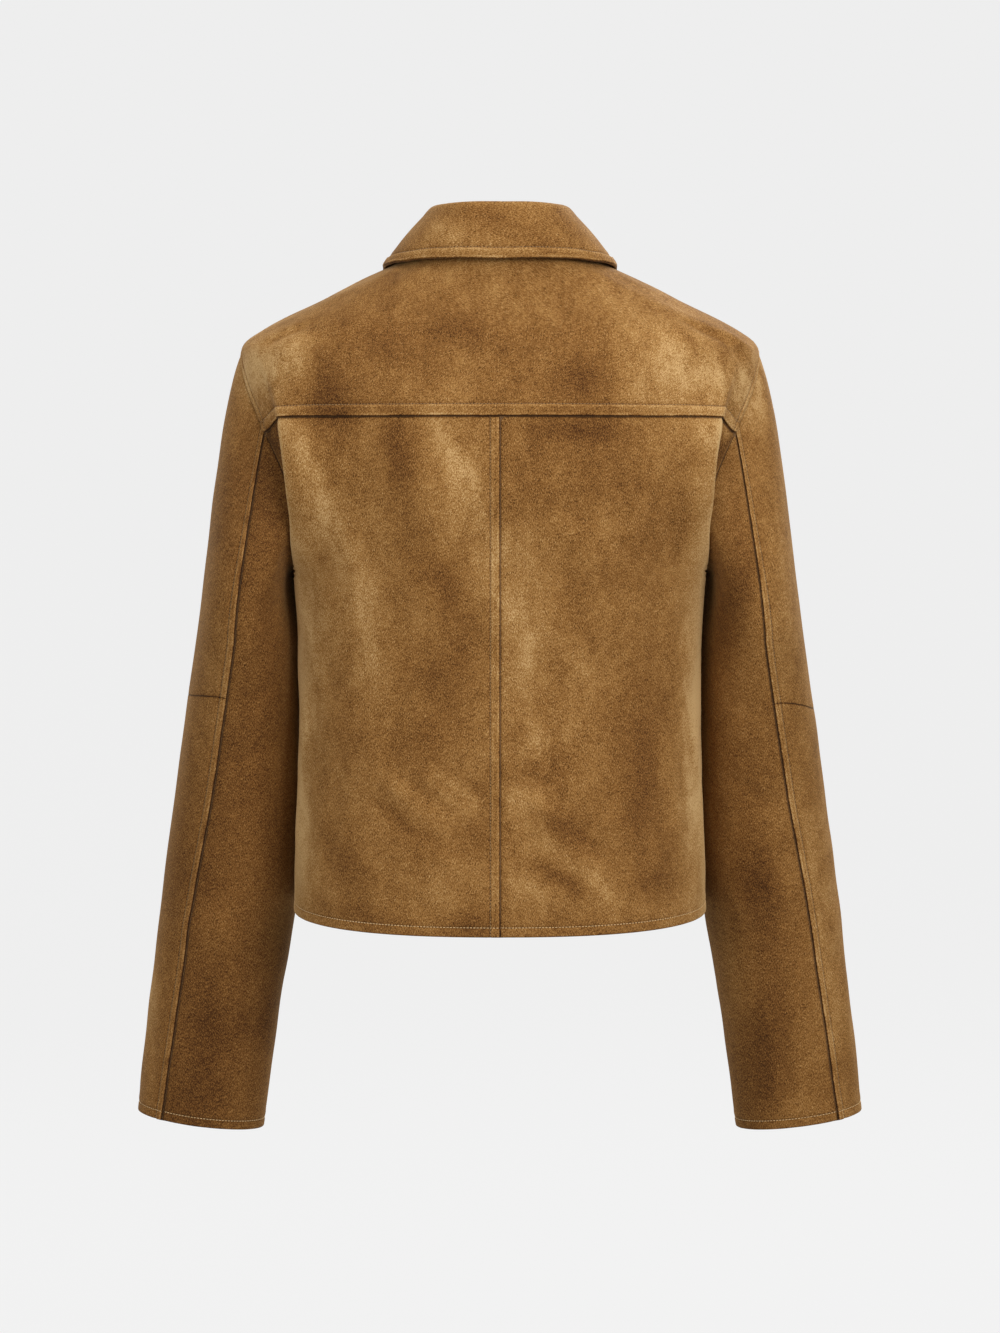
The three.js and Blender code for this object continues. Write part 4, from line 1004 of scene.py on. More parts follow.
def nap_and_light_marks(points: Array, normal: Array) -> Array:
    """How the nap is brushed, with painted light and shade among it: soft ovals placed on the back, and the same on
    the front.
    """
    total = np.zeros(points.shape[:2])
    behind = soft_step(-0.3, 0.3, normal[..., 1])
    for x, z, half, width, turn, strength in NAP_AND_LIGHT_STROKES:
        t = math.radians(turn)
        for mirror, weight in ((1, behind), (-1, MIRRORED_STROKES - MIRRORED_STROKES * behind)):
            dx, dz = points[..., 0] * mirror - x, points[..., 2] - z
            u, w = dx * math.cos(t) + dz * math.sin(t), dz * math.cos(t) - dx * math.sin(t)
            total += strength * weight * np.exp(-((u / half) ** 2) - (w / width) ** 2)
    return total


def fold_wear_and_shade(points: Array, normal: Array) -> Array:
    """Ridges paler, rubbed wear with a painted highlight, and hollows darker with painted shade, by how the normal
    turns along the grid both ways.
    """
    bend = 0.0
    for axis in (0, 1):
        along, turn = np.gradient(points, axis=axis), np.gradient(normal, axis=axis)
        bend = bend + (along * turn).sum(-1) / np.maximum((along**2).sum(-1), 1e-9)
    return np.clip(WEAR_AND_SHADE_GAIN * bend - WEAR_AND_SHADE_BIAS, -WEAR_AND_SHADE_LIMIT, WEAR_AND_SHADE_LIMIT)


# Finishes


class Graph:
    """A material's nodes, added one after another."""

    def __init__(self, name: str) -> None:
        """Starts a material that has only its output."""
        self.material = bpy.data.materials.new(name)
        self.material.use_nodes = True
        self.material.node_tree.nodes.clear()
        self.output = self.add("ShaderNodeOutputMaterial", {})

    def add(self, kind: str, inputs: dict, **settings: object) -> bpy.types.Node:
        """Adds a node.

        Args:
            kind: The node's type.
            inputs: A value or another node's socket for each named input.
            settings: The node's own options.

        Returns:
            The node.
        """
        node = self.material.node_tree.nodes.new(kind)
        for name, value in settings.items():
            setattr(node, name, value)
        for name, value in inputs.items():
            if isinstance(value, Socket):
                self.material.node_tree.links.new(value, node.inputs[name])
            else:
                node.inputs[name].default_value = value
        return node

    def noise(self, where: Socket, scale: float, detail: float, rough: float = 0.55) -> Socket:
        """Cloudy noise of about 0 to 1."""
        inputs = {"Vector": where, "Scale": scale, "Detail": detail, "Roughness": rough}
        return self.add("ShaderNodeTexNoise", inputs).outputs[0]

    def scaled(self, where: Socket, turn: tuple, scale: tuple) -> Socket:
        """Coordinates that are turned and then stretched."""
        inputs = {"Vector": where, "Rotation": turn, "Scale": scale}
        return self.add("ShaderNodeMapping", inputs).outputs[0]

    def total(self, start: float, terms: list[tuple[Socket, float, float]]) -> Socket:
        """The start, plus each term's gain times how far its value is above its middle."""
        value: object = start - sum(gain * middle for _, gain, middle in terms)
        for socket, gain, _ in terms:
            node = self.add("ShaderNodeMath", {}, operation="MULTIPLY_ADD")
            self.material.node_tree.links.new(socket, node.inputs[0])
            node.inputs[1].default_value = gain
            if isinstance(value, Socket):
                self.material.node_tree.links.new(value, node.inputs[2])
            else:
                node.inputs[2].default_value = value
            value = node.outputs[0]
        return value

    def ramp(self, value: Socket, stops: tuple) -> Socket:
        """A colour for each value, from stops of place and colour."""
        node = self.add("ShaderNodeValToRGB", {"Fac": value})
        elements = node.color_ramp.elements
        while len(elements) < len(stops):
            elements.new(0.5)
        for element, (place, colour) in zip(elements, stops):
            element.position = place
            element.color = (*colour, 1)
        return node.outputs[0]

    def finish(self, **inputs: object) -> bpy.types.Material:
        """Ends in the main shader, with its inputs by name, an underscore for each space."""
        named = {name.replace("_", " "): value for name, value in inputs.items()}
        shader = self.add("ShaderNodeBsdfPrincipled", named)
        self.material.node_tree.links.new(shader.outputs[0], self.output.inputs[0])
        return self.material


@dataclass(frozen=True)
class Suede:
    """Suede: a short nap that is brushed paler and darker, over fine fibres and specks."""

    name: str = "suede_nap"
    deep: tuple = (0.032, 0.0115, 0.0025)
    dark: tuple = (0.127, 0.049, 0.0105)
    middle: tuple = (0.262, 0.120, 0.0290)
    pale: tuple = (0.395, 0.213, 0.069)
    bright: tuple = (0.58, 0.375, 0.165)
    cloudy: float = 0.42  # gain of the patches of about 60 mm
    mottled: float = 0.55  # gain of the patches of about 15 mm
    gritty: float = 0.36  # gain of the flecks of about 5 mm
    fibres: float = 1.5  # gain of the fibres of about 1 mm
    specks: float = 0.95  # gain of the specks of half a millimetre
    ragged: float = 0.009  # how far stray fibres pull the patches' edges
    depth: float = 0.00035

    def material(self) -> bpy.types.Material:
        """Makes the material from Object coordinates, the cloth's UV map and its two attributes."""
        graph = Graph(self.name)
        place = graph.add("ShaderNodeTexCoord", {}).outputs["Object"]
        cloth = graph.add("ShaderNodeUVMap", {}, uv_map="cloth").outputs[0]
        along = graph.scaled(cloth, (0, 0, math.radians(38)), (1500, 620, 1))
        stray = graph.add("ShaderNodeTexNoise", {"Vector": place, "Scale": 330.0, "Detail": 3.0}).outputs["Color"]
        pull = {0: stray, 1: (self.ragged,) * 3, 2: place}
        pulled = graph.add("ShaderNodeVectorMath", pull, operation="MULTIPLY_ADD")
        brushed = graph.scaled(pulled.outputs[0], (0, math.radians(-32), 0), (1, 1, 0.55))
        clouds = graph.noise(brushed, 19, 3.0)
        patches = graph.noise(brushed, 62, 5.0, 0.66)
        fibres = graph.noise(along, 1, 2.0, 0.6)
        grit = graph.noise(pulled.outputs[0], 190, 3.0, 0.6)
        specks = graph.noise(place, 1500, 1.0)
        # The two attributes carry painted light and shade along with the nap's brushing and the seams' own tone
        marks = graph.add("ShaderNodeAttribute", {}, attribute_name="nap_and_light").outputs["Fac"]
        broken = graph.total(1.0, [(patches, 3.2, 0.5), (fibres, 0.9, 0.5)])
        nap_and_light = graph.add("ShaderNodeMath", {0: marks, 1: broken}, operation="MULTIPLY").outputs[0]
        tone = graph.add("ShaderNodeAttribute", {}, attribute_name="tone").outputs["Fac"]
        value = graph.total(0.5, [
            (clouds, self.cloudy, 0.5), (patches, self.mottled, 0.5), (grit, self.gritty, 0.5),
            (fibres, self.fibres, 0.5), (specks, self.specks, 0.5), (nap_and_light, 1.0, 0.0), (tone, 1.0, 0.0),
        ])
        stops = ((0.0, self.deep), (0.26, self.dark), (0.5, self.middle), (0.74, self.pale), (1.0, self.bright))
        height = graph.total(0.5, [(fibres, 0.9, 0.5), (specks, 0.5, 0.5), (patches, 0.8, 0.5)])
        bump = graph.add("ShaderNodeBump", {"Height": height, "Distance": self.depth, "Strength": 0.9})
        return graph.finish(
            Base_Color=graph.ramp(value, stops), Roughness=0.92, Specular_IOR_Level=0.16, Sheen_Weight=0.22,
            Sheen_Roughness=0.36, Sheen_Tint=(0.95, 0.64, 0.3, 1), Normal=bump.outputs[0],
        )


@dataclass(frozen=True)
class Horn:
    """Dark horn: streaks of brown along one way, with a soft gloss."""

    def material(self) -> bpy.types.Material:
        """Makes the material."""
        graph = Graph("horn")
        place = graph.add("ShaderNodeTexCoord", {}).outputs["Object"]
        streaks = graph.noise(graph.scaled(place, (0.3, 0.5, 0.9), (90, 420, 140)), 1, 4.0)
        pores = graph.noise(place, 1400, 2.0)
        value = graph.total(0.5, [(streaks, 1.8, 0.5), (pores, 0.25, 0.5)])
        stops = ((0.1, (0.016, 0.008, 0.004)), (0.5, (0.05, 0.024, 0.011)), (0.9, (0.16, 0.085, 0.038)))
        bump = graph.add("ShaderNodeBump", {"Height": pores, "Distance": 0.0001, "Strength": 0.3})
        return graph.finish(
            Base_Color=graph.ramp(value, stops), Roughness=0.34, Specular_IOR_Level=0.5, Normal=bump.outputs[0]
        )


@dataclass(frozen=True)
class Thread:
    """Twisted sewing thread, matt, with fine slanting plies."""

    name: str
    dark: tuple
    light: tuple

    def material(self) -> bpy.types.Material:
        """Makes the material."""
        graph = Graph(self.name)
        place = graph.add("ShaderNodeTexCoord", {}).outputs["Object"]
        plies = graph.noise(place, 2600, 1.0)
        shade = graph.noise(place, 60, 2.0)
        value = graph.total(0.5, [(plies, 1.2, 0.5), (shade, 0.6, 0.5)])
        colour = graph.ramp(value, ((0.15, self.dark), (0.85, self.light)))
        bump = graph.add("ShaderNodeBump", {"Height": plies, "Distance": 0.0001, "Strength": 0.6})
        return graph.finish(
            Base_Color=colour, Roughness=0.8, Specular_IOR_Level=0.2, Sheen_Weight=0.1, Normal=bump.outputs[0]
        )


@dataclass(frozen=True)
class Pale:
    """The studio's pale ground: matt and partly lit from itself, so that it reads as even."""

    own: float = 0.95
    light: float = 0.878

    def material(self) -> bpy.types.Material:
        """Makes the material."""
        graph = Graph("pale_ground")
        matt = graph.add("ShaderNodeBsdfDiffuse", {"Color": (0.8, 0.8, 0.8, 1)})
        lit = graph.add("ShaderNodeEmission", {"Color": (1, 1, 1, 1), "Strength": self.light})
        mixed = graph.add("ShaderNodeMixShader", {"Fac": self.own})
        link = graph.material.node_tree.links.new
        link(matt.outputs[0], mixed.inputs[1])
        link(lit.outputs[0], mixed.inputs[2])
        link(mixed.outputs[0], graph.output.inputs[0])
        return graph.material


@dataclass(frozen=True)
class Finishes:
    """The finishes that the pieces share."""

    suede: bpy.types.Material
    reverse: bpy.types.Material
    thread: bpy.types.Material
    pale_thread: bpy.types.Material
    hole: bpy.types.Material
    horn: bpy.types.Material

    @classmethod
    def make(cls) -> "Finishes":
        """Makes them all."""
        reverse = Suede(
            name="suede_reverse", deep=(0.03, 0.014, 0.006), dark=(0.10, 0.05, 0.02), middle=(0.17, 0.09, 0.038),
            pale=(0.24, 0.135, 0.06), bright=(0.3, 0.18, 0.09), cloudy=0.5, mottled=0.4, fibres=0.3, depth=0.0002,
        )
        return cls(
            suede=Suede().material(),
            reverse=reverse.material(),
            thread=Thread("thread", (0.22, 0.105, 0.030), (0.44, 0.27, 0.105)).material(),
            pale_thread=Thread("pale_thread", (0.50, 0.30, 0.115), (0.85, 0.60, 0.30)).material(),
            # The needle holes are near black: painted shade in each hole
            hole=Thread("needle_hole", (0.02, 0.008, 0.003), (0.05, 0.022, 0.008)).material(),
            horn=Horn().material(),
        )


# Stitching


@dataclass(frozen=True)
class Stitching:
    """Rows of stitches: a short bowed thread each, with a needle hole between two."""

    pitch: float = 2.6
    length: float = 2.15
    radius: float = 0.31
    hole: float = 0.6
    sides: int = 6
    left_free: float = 0.6  # of a pitch, at the line's end
    look_ahead: float = 0.5

    def thread(self) -> tuple[Array, Array]:
        """One stitch along x: four rings of points, bowed up, closed by a point at each end."""
        turn = 2 * math.pi * np.arange(self.sides) / self.sides
        x = self.length * np.array([-0.42, -0.2, 0.2, 0.42])
        size = self.radius * np.array([0.7, 1.0, 1.0, 0.7])
        lift = self.radius * np.array([-0.1, 0.55, 0.55, -0.1])
        ring = stacked(x[:, None], size[:, None] * np.cos(turn), size[:, None] * np.sin(turn) + lift[:, None])
        tips = np.array([[-0.5 * self.length, 0, -self.radius], [0.5 * self.length, 0, -self.radius]])
        index = np.arange(4 * self.sides).reshape(4, self.sides)
        after = np.roll(index, -1, axis=1)
        first = fan_faces(after[0], index[0], index.size)
        last = fan_faces(index[3], after[3], index.size + 1)
        return np.concatenate([ring.reshape(-1, 3), tips]), np.concatenate([tube_faces(index), first, last])

    def needle_hole(self) -> tuple[Array, Array]:
        """A low dark lens of six points, painted shade standing for the hole, closed above and below."""
        turn = 2 * math.pi * np.arange(self.sides) / self.sides
        ring = stacked(self.hole * 0.85 * np.cos(turn), self.hole * np.sin(turn), 0 * turn)
        points = np.concatenate([ring, [[0, 0, 0.12], [0, 0, -0.2]]])
        index = np.arange(self.sides)
        after = np.roll(index, -1)
        return points, np.concatenate([
            fan_faces(index, after, self.sides), fan_faces(after, index, self.sides + 1)
        ])

    def frames(self, points: Array, normals: Array, start: float) -> tuple[Array, Array]:
        """Evenly spaced places along a line, and the axes there: along it, across it and out of it."""
        run = run_length(points, 0)
        places = np.arange(start, run[-1] - self.left_free * self.pitch, self.pitch)
        at = np.stack([np.interp(places, run, points[:, k]) for k in range(3)], axis=-1)
        out = unit(np.stack([np.interp(places, run, normals[:, k]) for k in range(3)], axis=-1))
        ahead = np.stack([np.interp(places + self.look_ahead, run, points[:, k]) for k in range(3)], axis=-1)
        along = unit(ahead - at)
        across = unit(np.cross(out, along))
        return at, np.stack([along, across, np.cross(along, across)], axis=-1)

    def build(self, name: str, lines: list[tuple[Array, Array, bool]]) -> bpy.types.Object:
        """Makes the stitches of a piece as one mesh: thread, needle holes and pale thread, a material each."""
        points, faces, slots, count = [], [], [], 0
        for line, normals, pale in lines:
            for (shape, shape_faces), start, slot in (
                (self.thread(), self.pitch, 2 if pale else 0),
                (self.needle_hole(), 0.5 * self.pitch, 1),
            ):
                at, axes = self.frames(line, normals, start)
                placed = at[:, None, :] + np.einsum("nij,kj->nki", axes, shape)
                offset = count + len(shape) * np.arange(len(at))
                points.append(placed.reshape(-1, 3))
                faces.append((shape_faces[None] + offset[:, None, None]).reshape(-1, 4))
                slots.append(np.full(len(faces[-1]), slot, np.int32))
                count += placed.shape[0] * placed.shape[1]
        return mesh_object(name, np.concatenate(points) * MM, np.concatenate(faces), np.concatenate(slots))


# The sub-assemblies


def side_name(side: int) -> str:
    """The wearer's side in words."""
    return "left" if side > 0 else "right"


@dataclass
class SubAssembly:
    """Pieces of cloth that are built and dressed together."""

    finishes: Finishes
    stitching: Stitching = field(default_factory=Stitching)

    def pieces(self) -> list[Cloth]:
        """The cut pieces."""
        raise NotImplementedError

    def build(self) -> None:
        """Builds every piece with its stitches, hides the solid that each replaces and hangs each on the root body.
        """
        for piece in self.pieces():
            made = piece.build()
            made.data.materials.append(self.finishes.suede)
            made.data.materials.append(self.finishes.reverse)
            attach(made, "root")
            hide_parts(piece.name)
            if piece.stitch_lines:
                stitches = self.stitching.build(f"{piece.name}_stitches", piece.stitch_lines)
                for finish in (self.finishes.thread, self.finishes.hole, self.finishes.pale_thread):
                    stitches.data.materials.append(finish)
                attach(stitches, "root")
            log.info("%s: %d faces of cloth, %d lines of stitches", piece.name, len(made.data.polygons),
                     len(piece.stitch_lines))


@dataclass
class Body(SubAssembly):
    """Two back panels, the yoke and two fronts."""

    back_cut: Cut = Cut(0.235, 0.427, 0.0874, "hung", ("yoke",))
    yoke_cut: Cut = Cut(0.491, 0.233, 0.0653, "draped", ())
    front_cut: Cut = Cut(0.276, 0.669, 0.1208, "hung", ("yoke",))

    def pieces(self) -> list[Cloth]:
        """The five pieces."""
        return [self.back(1), self.back(-1), self.yoke(), self.front(1), self.front(-1)]

    def back(self, side: int) -> Cloth:
        """A back panel: from the centre back to the side seam and armhole, up to the yoke seam."""
        edges = {
            Side.START: BACK_RIDGE if side > 0 else SUNK_SIDE,
            Side.END: ARMHOLE_PLAIN,
            Side.BOTTOM: HEM,
            Side.TOP: UNDER_LAP,
        }

        def height(share: Array, row: Array) -> Array:
            """Rows that follow the yoke seam at the top and lie level lower down."""
            seam = yoke_seam(back_column(share, CORNER_V))
            return row + (seam - CORNER_V) * soft_step(UNDERARM_V + 10, CORNER_V, row)

        def surface(share: Array, row: Array) -> Array:
            """Points of the back."""
            return BODY_FORM.point(side * back_column(share, row), height(share, row))

        def shade(share: Array, row: Array) -> Array:
            """The painted shade behind the fold, its painted crest highlight and the painted rim light towards the
            outline.
            """
            return BODY_FORM.fold_shade(back_column(share, row), height(share, row))

        rows = CORNER_V * graded(CORNER_V, edges[Side.BOTTOM].marks(), edges[Side.TOP].marks(), STEP)
        name = f"back_{side_name(side)}"
        return Cloth(name, surface, rows, side, edges, self.back_cut, 2 + side, step=2.2, shade=shade)

    def yoke(self) -> Cloth:
        """The yoke: one piece over both shoulders, from its seam to the neck and shoulder seams."""
        edges = {Side.START: ARMHOLE_STITCHED, Side.END: ARMHOLE_STITCHED, Side.BOTTOM: LAPPED, Side.TOP: NECK_EDGE}

        def surface(share: Array, row: Array) -> Array:
            """Rows that follow the yoke seam at the bottom and the neck at the top."""
            half = np.abs(2 * share - 1)
            seam = yoke_seam(back_column(half, CORNER_V))
            v = row + (seam - CORNER_V) * (NECK_V - row) / (NECK_V - CORNER_V)
            return BODY_FORM.point(np.sign(2 * share - 1) * back_column(half, row), v)

        reach = NECK_V - CORNER_V
        rows = CORNER_V + reach * graded(reach, edges[Side.BOTTOM].marks(), edges[Side.TOP].marks(), STEP)
        return Cloth("yoke", surface, rows, 1, edges, self.yoke_cut, 5, step=3.0)

    def front(self, side: int) -> Cloth:
        """A front: from the side seam and armhole past the centre, up to the shoulder and the neck."""
        edges = {Side.START: ARMHOLE_PLAIN, Side.END: FRONT_EDGE, Side.BOTTOM: HEM, Side.TOP: NECK_EDGE}

        def surface(share: Array, row: Array) -> Array:
            """Even columns to the lap, which on the left lies deeper, with its top corner lowered."""
            last = front_angle(row, BUTTON_LAP)
            angle = 90 + (last - 90) * share + (outer_angle(row, True) - 90) * (1 - share) ** 2
            v = row - EXTENSION_DROP * soft_step(0.97, 1, row / NECK_V) * soft_step(0.9, 1, share)
            at = BODY_FORM.point(side * angle, v)
            if side < 0:
                return at
            return at - BODY_FORM.normal(side * angle, v) * under_lap(at[..., 0])[..., None]

        rows = NECK_V * graded(NECK_V, edges[Side.BOTTOM].marks(), edges[Side.TOP].marks(), STEP)
        return Cloth(f"front_{side_name(side)}", surface, rows, side, edges, self.front_cut, 8 + side)


@dataclass
class Sleeve(SubAssembly):
    """One sleeve: its top above and below the elbow seam, and its under piece."""

    side: int = 1
    # Painted shade: the top and under pieces are darkened where the sleeve gets less light
    top_shade: float = -0.06
    under_shade: float = -0.16
    # Painted fill light on the inner side, where the sleeve faces the body and lies in its shade
    inner_fill_light: float = 0.36
    inner_from: tuple[float, float] = (0.15, 0.6)  # reaches at which the inner tint starts and ends
    inner_until: tuple[float, float] = (1.45, 1.65)
    inner_turn: float = 178.0
    inner_reach: float = 34.0
    cap_length: float = 210.0  # down the outer side of the cap, for the spacing of its rows
    top_cuts: tuple[Cut, Cut] = (Cut(0.249, 0.290, 0.0444, "hung", ("yoke",)), Cut(0.182, 0.365, 0.0573, "hung", ()))
    under_cut: Cut = Cut(0.243, 0.590, 0.0816, "hung", ())

    def surface_of(self, low: Callable, high: Callable, reach_at: Callable) -> Surface:
        """The surface between two seams, whose rows follow their own reach.

        Turn and reach are settled in two steps, as each depends a little on the other.
        """
        form = SleeveForm(self.side)

        def surface(share: Array, row: Array) -> Array:
            """A point between the two seams."""
            reach = reach_at(row, low(np.ones_like(row)) * (1 - share) + high(np.ones_like(row)) * share)
            reach = reach_at(row, low(reach) * (1 - share) + high(reach) * share)
            return form.point(low(reach) * (1 - share) + high(reach) * share, reach)

        return surface

    def pieces(self) -> list[Cloth]:
        """The three pieces."""
        form = SleeveForm(self.side)
        name = f"sleeve_{side_name(self.side)}"

        def to_elbow(row: Array, turn: Array) -> Array:
            """Rows 0 to 1 run down the cap, and 1 to 2 on to the elbow seam."""
            return np.where(row <= 1, row, 1 + (row - 1) * (form.elbow(turn) - 1))

        def from_elbow(row: Array, turn: Array) -> Array:
            """Rows 0 to 1 run from the elbow seam to the cuff."""
            return form.elbow(turn) + row * (2 - form.elbow(turn))

        cap_rows = graded(self.cap_length, ARMHOLE_SLEEVE.marks(), [0.0], STEP)
        elbow_length = ELBOW_DROPS[self.side][1] - SLEEVE_TOP_DROP
        elbow_rows = 1 + graded(elbow_length, [0.0], PLAIN_SEAM.marks(), STEP)[1:]
        lower_rows = graded(SLEEVE_LENGTH - elbow_length, PLAIN_SEAM.marks(), HEM.marks(), STEP)
        long_rows = 1 + graded(SLEEVE_LENGTH, [0.0], HEM.marks(), STEP)[1:]
        top = {Side.START: PLAIN_SEAM, Side.END: SLEEVE_RIDGE}
        under = {Side.START: SUNK_SIDE, Side.END: PLAIN_SEAM, Side.BOTTOM: ARMHOLE_SLEEVE, Side.TOP: HEM}
        top_rows, long_rows = np.concatenate([cap_rows, elbow_rows]), np.concatenate([cap_rows, long_rows])

        def lit_beside_body(share: Array, row: Array) -> Array:
            """Painted fill light: paler where the sleeve faces the body, down to the hem."""
            turn = form.back_seam(row) * (1 - share) + (form.front_seam(row) + 360) * share
            along = soft_step(*self.inner_from, row) * (1 - soft_step(*self.inner_until, row))
            return self.inner_fill_light * along * bump(turn, self.inner_turn, self.inner_reach)

        return [
            Cloth(
                f"{name}_top_upper", self.surface_of(form.front_seam, form.back_seam, to_elbow), top_rows, self.side,
                {**top, Side.BOTTOM: ARMHOLE_SLEEVE, Side.TOP: PLAIN_SEAM}, self.top_cuts[0], 12 + self.side,
                tint=self.top_shade,
            ),
            Cloth(
                f"{name}_top_lower", self.surface_of(form.front_seam, form.back_seam, from_elbow), lower_rows,
                self.side, {**top, Side.BOTTOM: PLAIN_SEAM, Side.TOP: HEM}, self.top_cuts[1], 15 + self.side,
                tint=self.top_shade,
            ),
            Cloth(
                f"{name}_under",
                self.surface_of(form.back_seam, lambda reach: form.front_seam(reach) + 360, lambda row, turn: row),
                long_rows, self.side, under, self.under_cut, 18 + self.side,
                tint=self.under_shade, shade=lit_beside_body,
            ),
        ]


@dataclass
class Collar(SubAssembly):
    """The collar: one wall from the neck seam up the stand, over the fold and down the fall."""

    cut: Cut = Cut(0.111, 0.601, 0.0474, "folded", ("yoke",))
    length: float = 430.0  # round its edge, for the spacing of its rows

    def pieces(self) -> list[Cloth]:
        """The one piece. Its rows are turns round the neck, and its shares run back to the neck seam."""
        form = CollarForm()
        marks = COLLAR_EDGE.marks()
        rows = float(COLLAR.key[-1]) * (2 * graded(self.length, marks, marks, STEP) - 1)
        edges = {
            Side.START: COLLAR_EDGE,
            Side.END: NECK_EDGE,
            Side.BOTTOM: COLLAR_EDGE,
            Side.TOP: COLLAR_EDGE,
        }
        return [Cloth("collar", lambda share, row: form.point(row, 1 - share), rows, -1, edges, self.cut, 22)]


@dataclass
class Fastening:
    """The buttons of the front, with the thread in their holes, and a worked buttonhole under each."""

    finishes: Finishes
    count: int = 6
    hole_span: tuple[float, float] = (-17.0, 4.5)  # across the centre front
    hole_half: float = 1.5
    end_power: float = 0.5  # the slot's outline: powers of cosine and sine
    side_power: float = 0.7
    cord: float = 0.65
    flatness: float = 0.9  # of the cord's height to its width
    wraps: int = 10
    wrap_depth: float = 0.16
    face_height: float = 0.55  # of the button's sunk face, out from its middle
    bar_apart: float = 1.485  # from the button's middle to each bar of thread
    bar_length: float = 4.0
    bar_radius: float = 0.5
    around: int = 56
    sides: int = 8

    def seat(self, button: str) -> tuple[Array, Array]:
        """The middle and the outward axis of a button, from the box and the points of its solid."""
        mesh = bpy.data.objects[button].data
        points = np.zeros(3 * len(mesh.vertices))
        mesh.vertices.foreach_get("co", points)
        points = points.reshape(-1, 3) / MM
        middle = (points.min(0) + points.max(0)) / 2
        spread = np.linalg.svd(points - middle, full_matrices=False)[2][-1]
        return middle, spread * -np.sign(spread[1])

    def buttonhole(self, number: int) -> bpy.types.Object:
        """A worked buttonhole: a cord carried round a flat slot on the right front.

        The slot's outline is a stadium across the front, and each of its points is seated on the
        cloth at the height of the button.
        """
        middle, _ = self.seat(f"button_{number}")
        v = float(np.interp(-middle[2], -BODY.columns["front_z"][::-1], BODY.key[::-1]))
        turn = 2 * math.pi * np.arange(self.around) / self.around
        low, high = self.hole_span
        cosine, sine = np.cos(turn), np.sin(turn)
        x = (low + high) / 2 + (high - low) / 2 * np.sign(cosine) * np.abs(cosine) ** self.end_power
        up = self.hole_half * np.sign(sine) * np.abs(sine) ** self.side_power
        angle = -front_angle(np.full_like(x, v), 0.0) - x / self.per_degree(v)
        points = BODY_FORM.point(angle, v + up)
        out = BODY_FORM.normal(angle, np.full_like(angle, v))
        along = unit(np.roll(points, -1, axis=0) - np.roll(points, 1, axis=0))
        across = np.cross(out, along)
        ring = 2 * math.pi * np.arange(self.sides) / self.sides
        wrap = self.cord * (1 + self.wrap_depth * np.cos(self.wraps * turn))
        tube = (
            points[:, None]
            + across[:, None] * (wrap[:, None] * np.cos(ring))[..., None]
            + out[:, None] * (self.flatness * wrap[:, None] * np.sin(ring))[..., None]
        )
        index = np.arange(self.around * self.sides).reshape(self.around, self.sides)
        faces = tube_faces(np.concatenate([index, index[:1]]))
        return mesh_object(f"buttonhole_{number}", tube.reshape(-1, 3) * MM, faces)

    def threads(self, number: int) -> bpy.types.Object:
        """Two bars of thread across the button's face, each from one of its holes to the next."""
        middle, out = self.seat(f"button_{number}")
        across = unit(np.cross(out, (0.0, 0.0, 1.0)))
        up = np.cross(out, across)
        shape, faces = Stitching(length=self.bar_length, radius=self.bar_radius).thread()
        placed = shape @ np.stack([across, up, out])
        seated = middle + out * self.face_height
        points = np.concatenate([seated + placed + up * self.bar_apart * way for way in (-1, 1)])
        return mesh_object(f"button_{number}_thread", points * MM, np.concatenate([faces, faces + len(shape)]))

    def per_degree(self, v: float) -> float:
        """Millimetres across the centre front for one degree."""
        return float(BODY_FORM.point(np.array(179.0), np.array(v))[0])

    def build(self) -> None:
        """Dresses every button, and builds its buttonhole."""
        for number in range(1, self.count + 1):
            button = bpy.data.objects[f"button_{number}"]
            button.data.materials.clear()
            button.data.materials.append(self.finishes.horn)
            for sewn, slot in ((self.buttonhole(number), "suede"), (self.threads(number), "button")):
                sewn.data.materials.append(self.finishes.thread)
                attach(sewn, "root")
            log.info("button_%d: dressed, with its buttonhole", number)


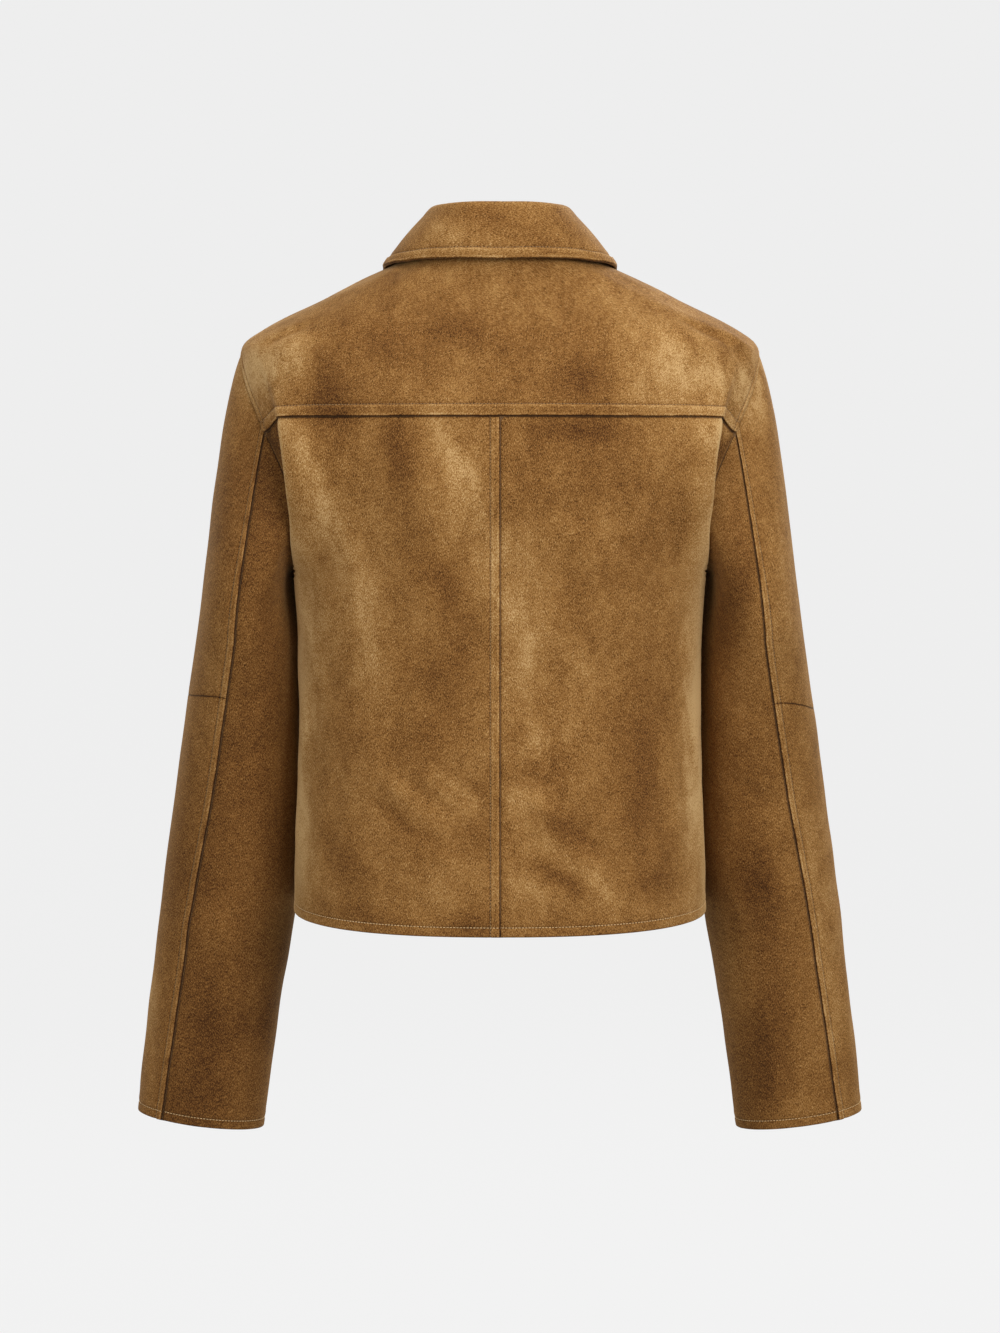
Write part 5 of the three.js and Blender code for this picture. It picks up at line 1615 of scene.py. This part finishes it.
@dataclass
class Studio:
    """A pale floor that sweeps up into a backdrop all round, soft lights, and the camera."""

    floor: float = -1.35
    flat: float = 3.0
    curve: float = 1.6
    wall: float = 4.6
    around: int = 96
    ambient: float = 0.34
    lights: tuple = (
        ("key", (-1.5, 2.3, 1.1), 1.7, 66.0),
        ("fill", (1.7, 2.4, 0.1), 1.8, 24.0),
        ("top", (0.0, 0.2, 2.1), 1.5, 22.0),
        ("far_side", (-1.3, -2.3, 0.9), 1.6, 60.0),
        ("far_fill", (1.8, -2.0, 0.3), 1.6, 26.0),
    )
    aim: tuple = (0.0, 0.0, -0.34)
    camera_at: tuple = (0.0, 2.350, -0.039)
    tilt: float = 6.9  # degrees below level
    focal: float = 2937.0  # of the photograph, in pixels
    picture: tuple = (1000, 1333)
    sensor: float = 36.0

    def sweep(self) -> bpy.types.Object:
        """The ground: a profile of floor, quarter circle and wall, turned round the vertical."""
        arc = np.radians(np.linspace(0, 90, 25))
        radius = np.concatenate([[self.flat / 2], self.flat + self.curve * np.sin(arc), [self.flat + self.curve]])
        height = np.concatenate([[0], self.curve * (1 - np.cos(arc)), [self.wall]]) + self.floor
        turn = 2 * math.pi * np.arange(self.around) / self.around
        points = stacked(radius[:, None] * np.cos(turn), radius[:, None] * np.sin(turn), height[:, None])
        index = np.arange(points.shape[0] * self.around).reshape(-1, self.around)
        middle = fan_faces(index[0], np.roll(index[0], -1), index.size)
        points = np.concatenate([points.reshape(-1, 3), [[0, 0, self.floor]]])
        made = mesh_object("floor", points, np.concatenate([tube_faces(index)[:, ::-1], middle]))
        made.data.materials.append(Pale().material())
        made.visible_diffuse = False
        made.visible_glossy = False
        return made

    def light(self, name: str, place: tuple, size: float, power: float) -> None:
        """A soft square light, aimed at the jacket."""
        lamp = bpy.data.lights.new(name, "AREA")
        lamp.size, lamp.energy = size, power
        made = bpy.data.objects.new(name, lamp)
        made.location = place
        made.rotation_euler = (Vector(self.aim) - Vector(place)).to_track_quat("-Z", "Y").to_euler()
        made.visible_camera = False
        bpy.context.scene.collection.objects.link(made)

    def build(self) -> None:
        """Sets up the ground, the lights, the even light all round and the camera."""
        scene = bpy.context.scene
        scene.view_settings.view_transform = "Standard"
        self.sweep()
        for row in self.lights:
            self.light(*row)
        world = bpy.data.worlds.new("studio")
        world.use_nodes = True
        world.node_tree.nodes["Background"].inputs[0].default_value = (1, 0.985, 0.96, 1)
        world.node_tree.nodes["Background"].inputs[1].default_value = self.ambient
        scene.world = world
        lens = bpy.data.cameras.new("camera")
        lens.sensor_width = self.sensor
        lens.lens = self.focal / max(self.picture) * self.sensor
        camera = bpy.data.objects.new("camera", lens)
        camera.location = self.camera_at
        camera.rotation_euler = (math.radians(90 - self.tilt), 0, math.pi)
        scene.collection.objects.link(camera)
        scene.camera = camera
        log.info("studio: floor, %d lights and the camera", len(self.lights))


def main() -> None:
    """Builds the jacket's sub-assemblies in order, and then the studio."""
    logging.basicConfig(level=logging.INFO, format="%(name)s: %(message)s")
    finishes = Finishes.make()
    Body(finishes).build()
    Collar(finishes).build()
    Sleeve(finishes, side=1).build()
    # The right sleeve has less painted shade and less painted fill light than the left
    Sleeve(finishes, side=-1, top_shade=0.0, under_shade=-0.07, inner_fill_light=0.16).build()
    Fastening(finishes).build()
    Studio().build()


if __name__ == "__main__":
    main()
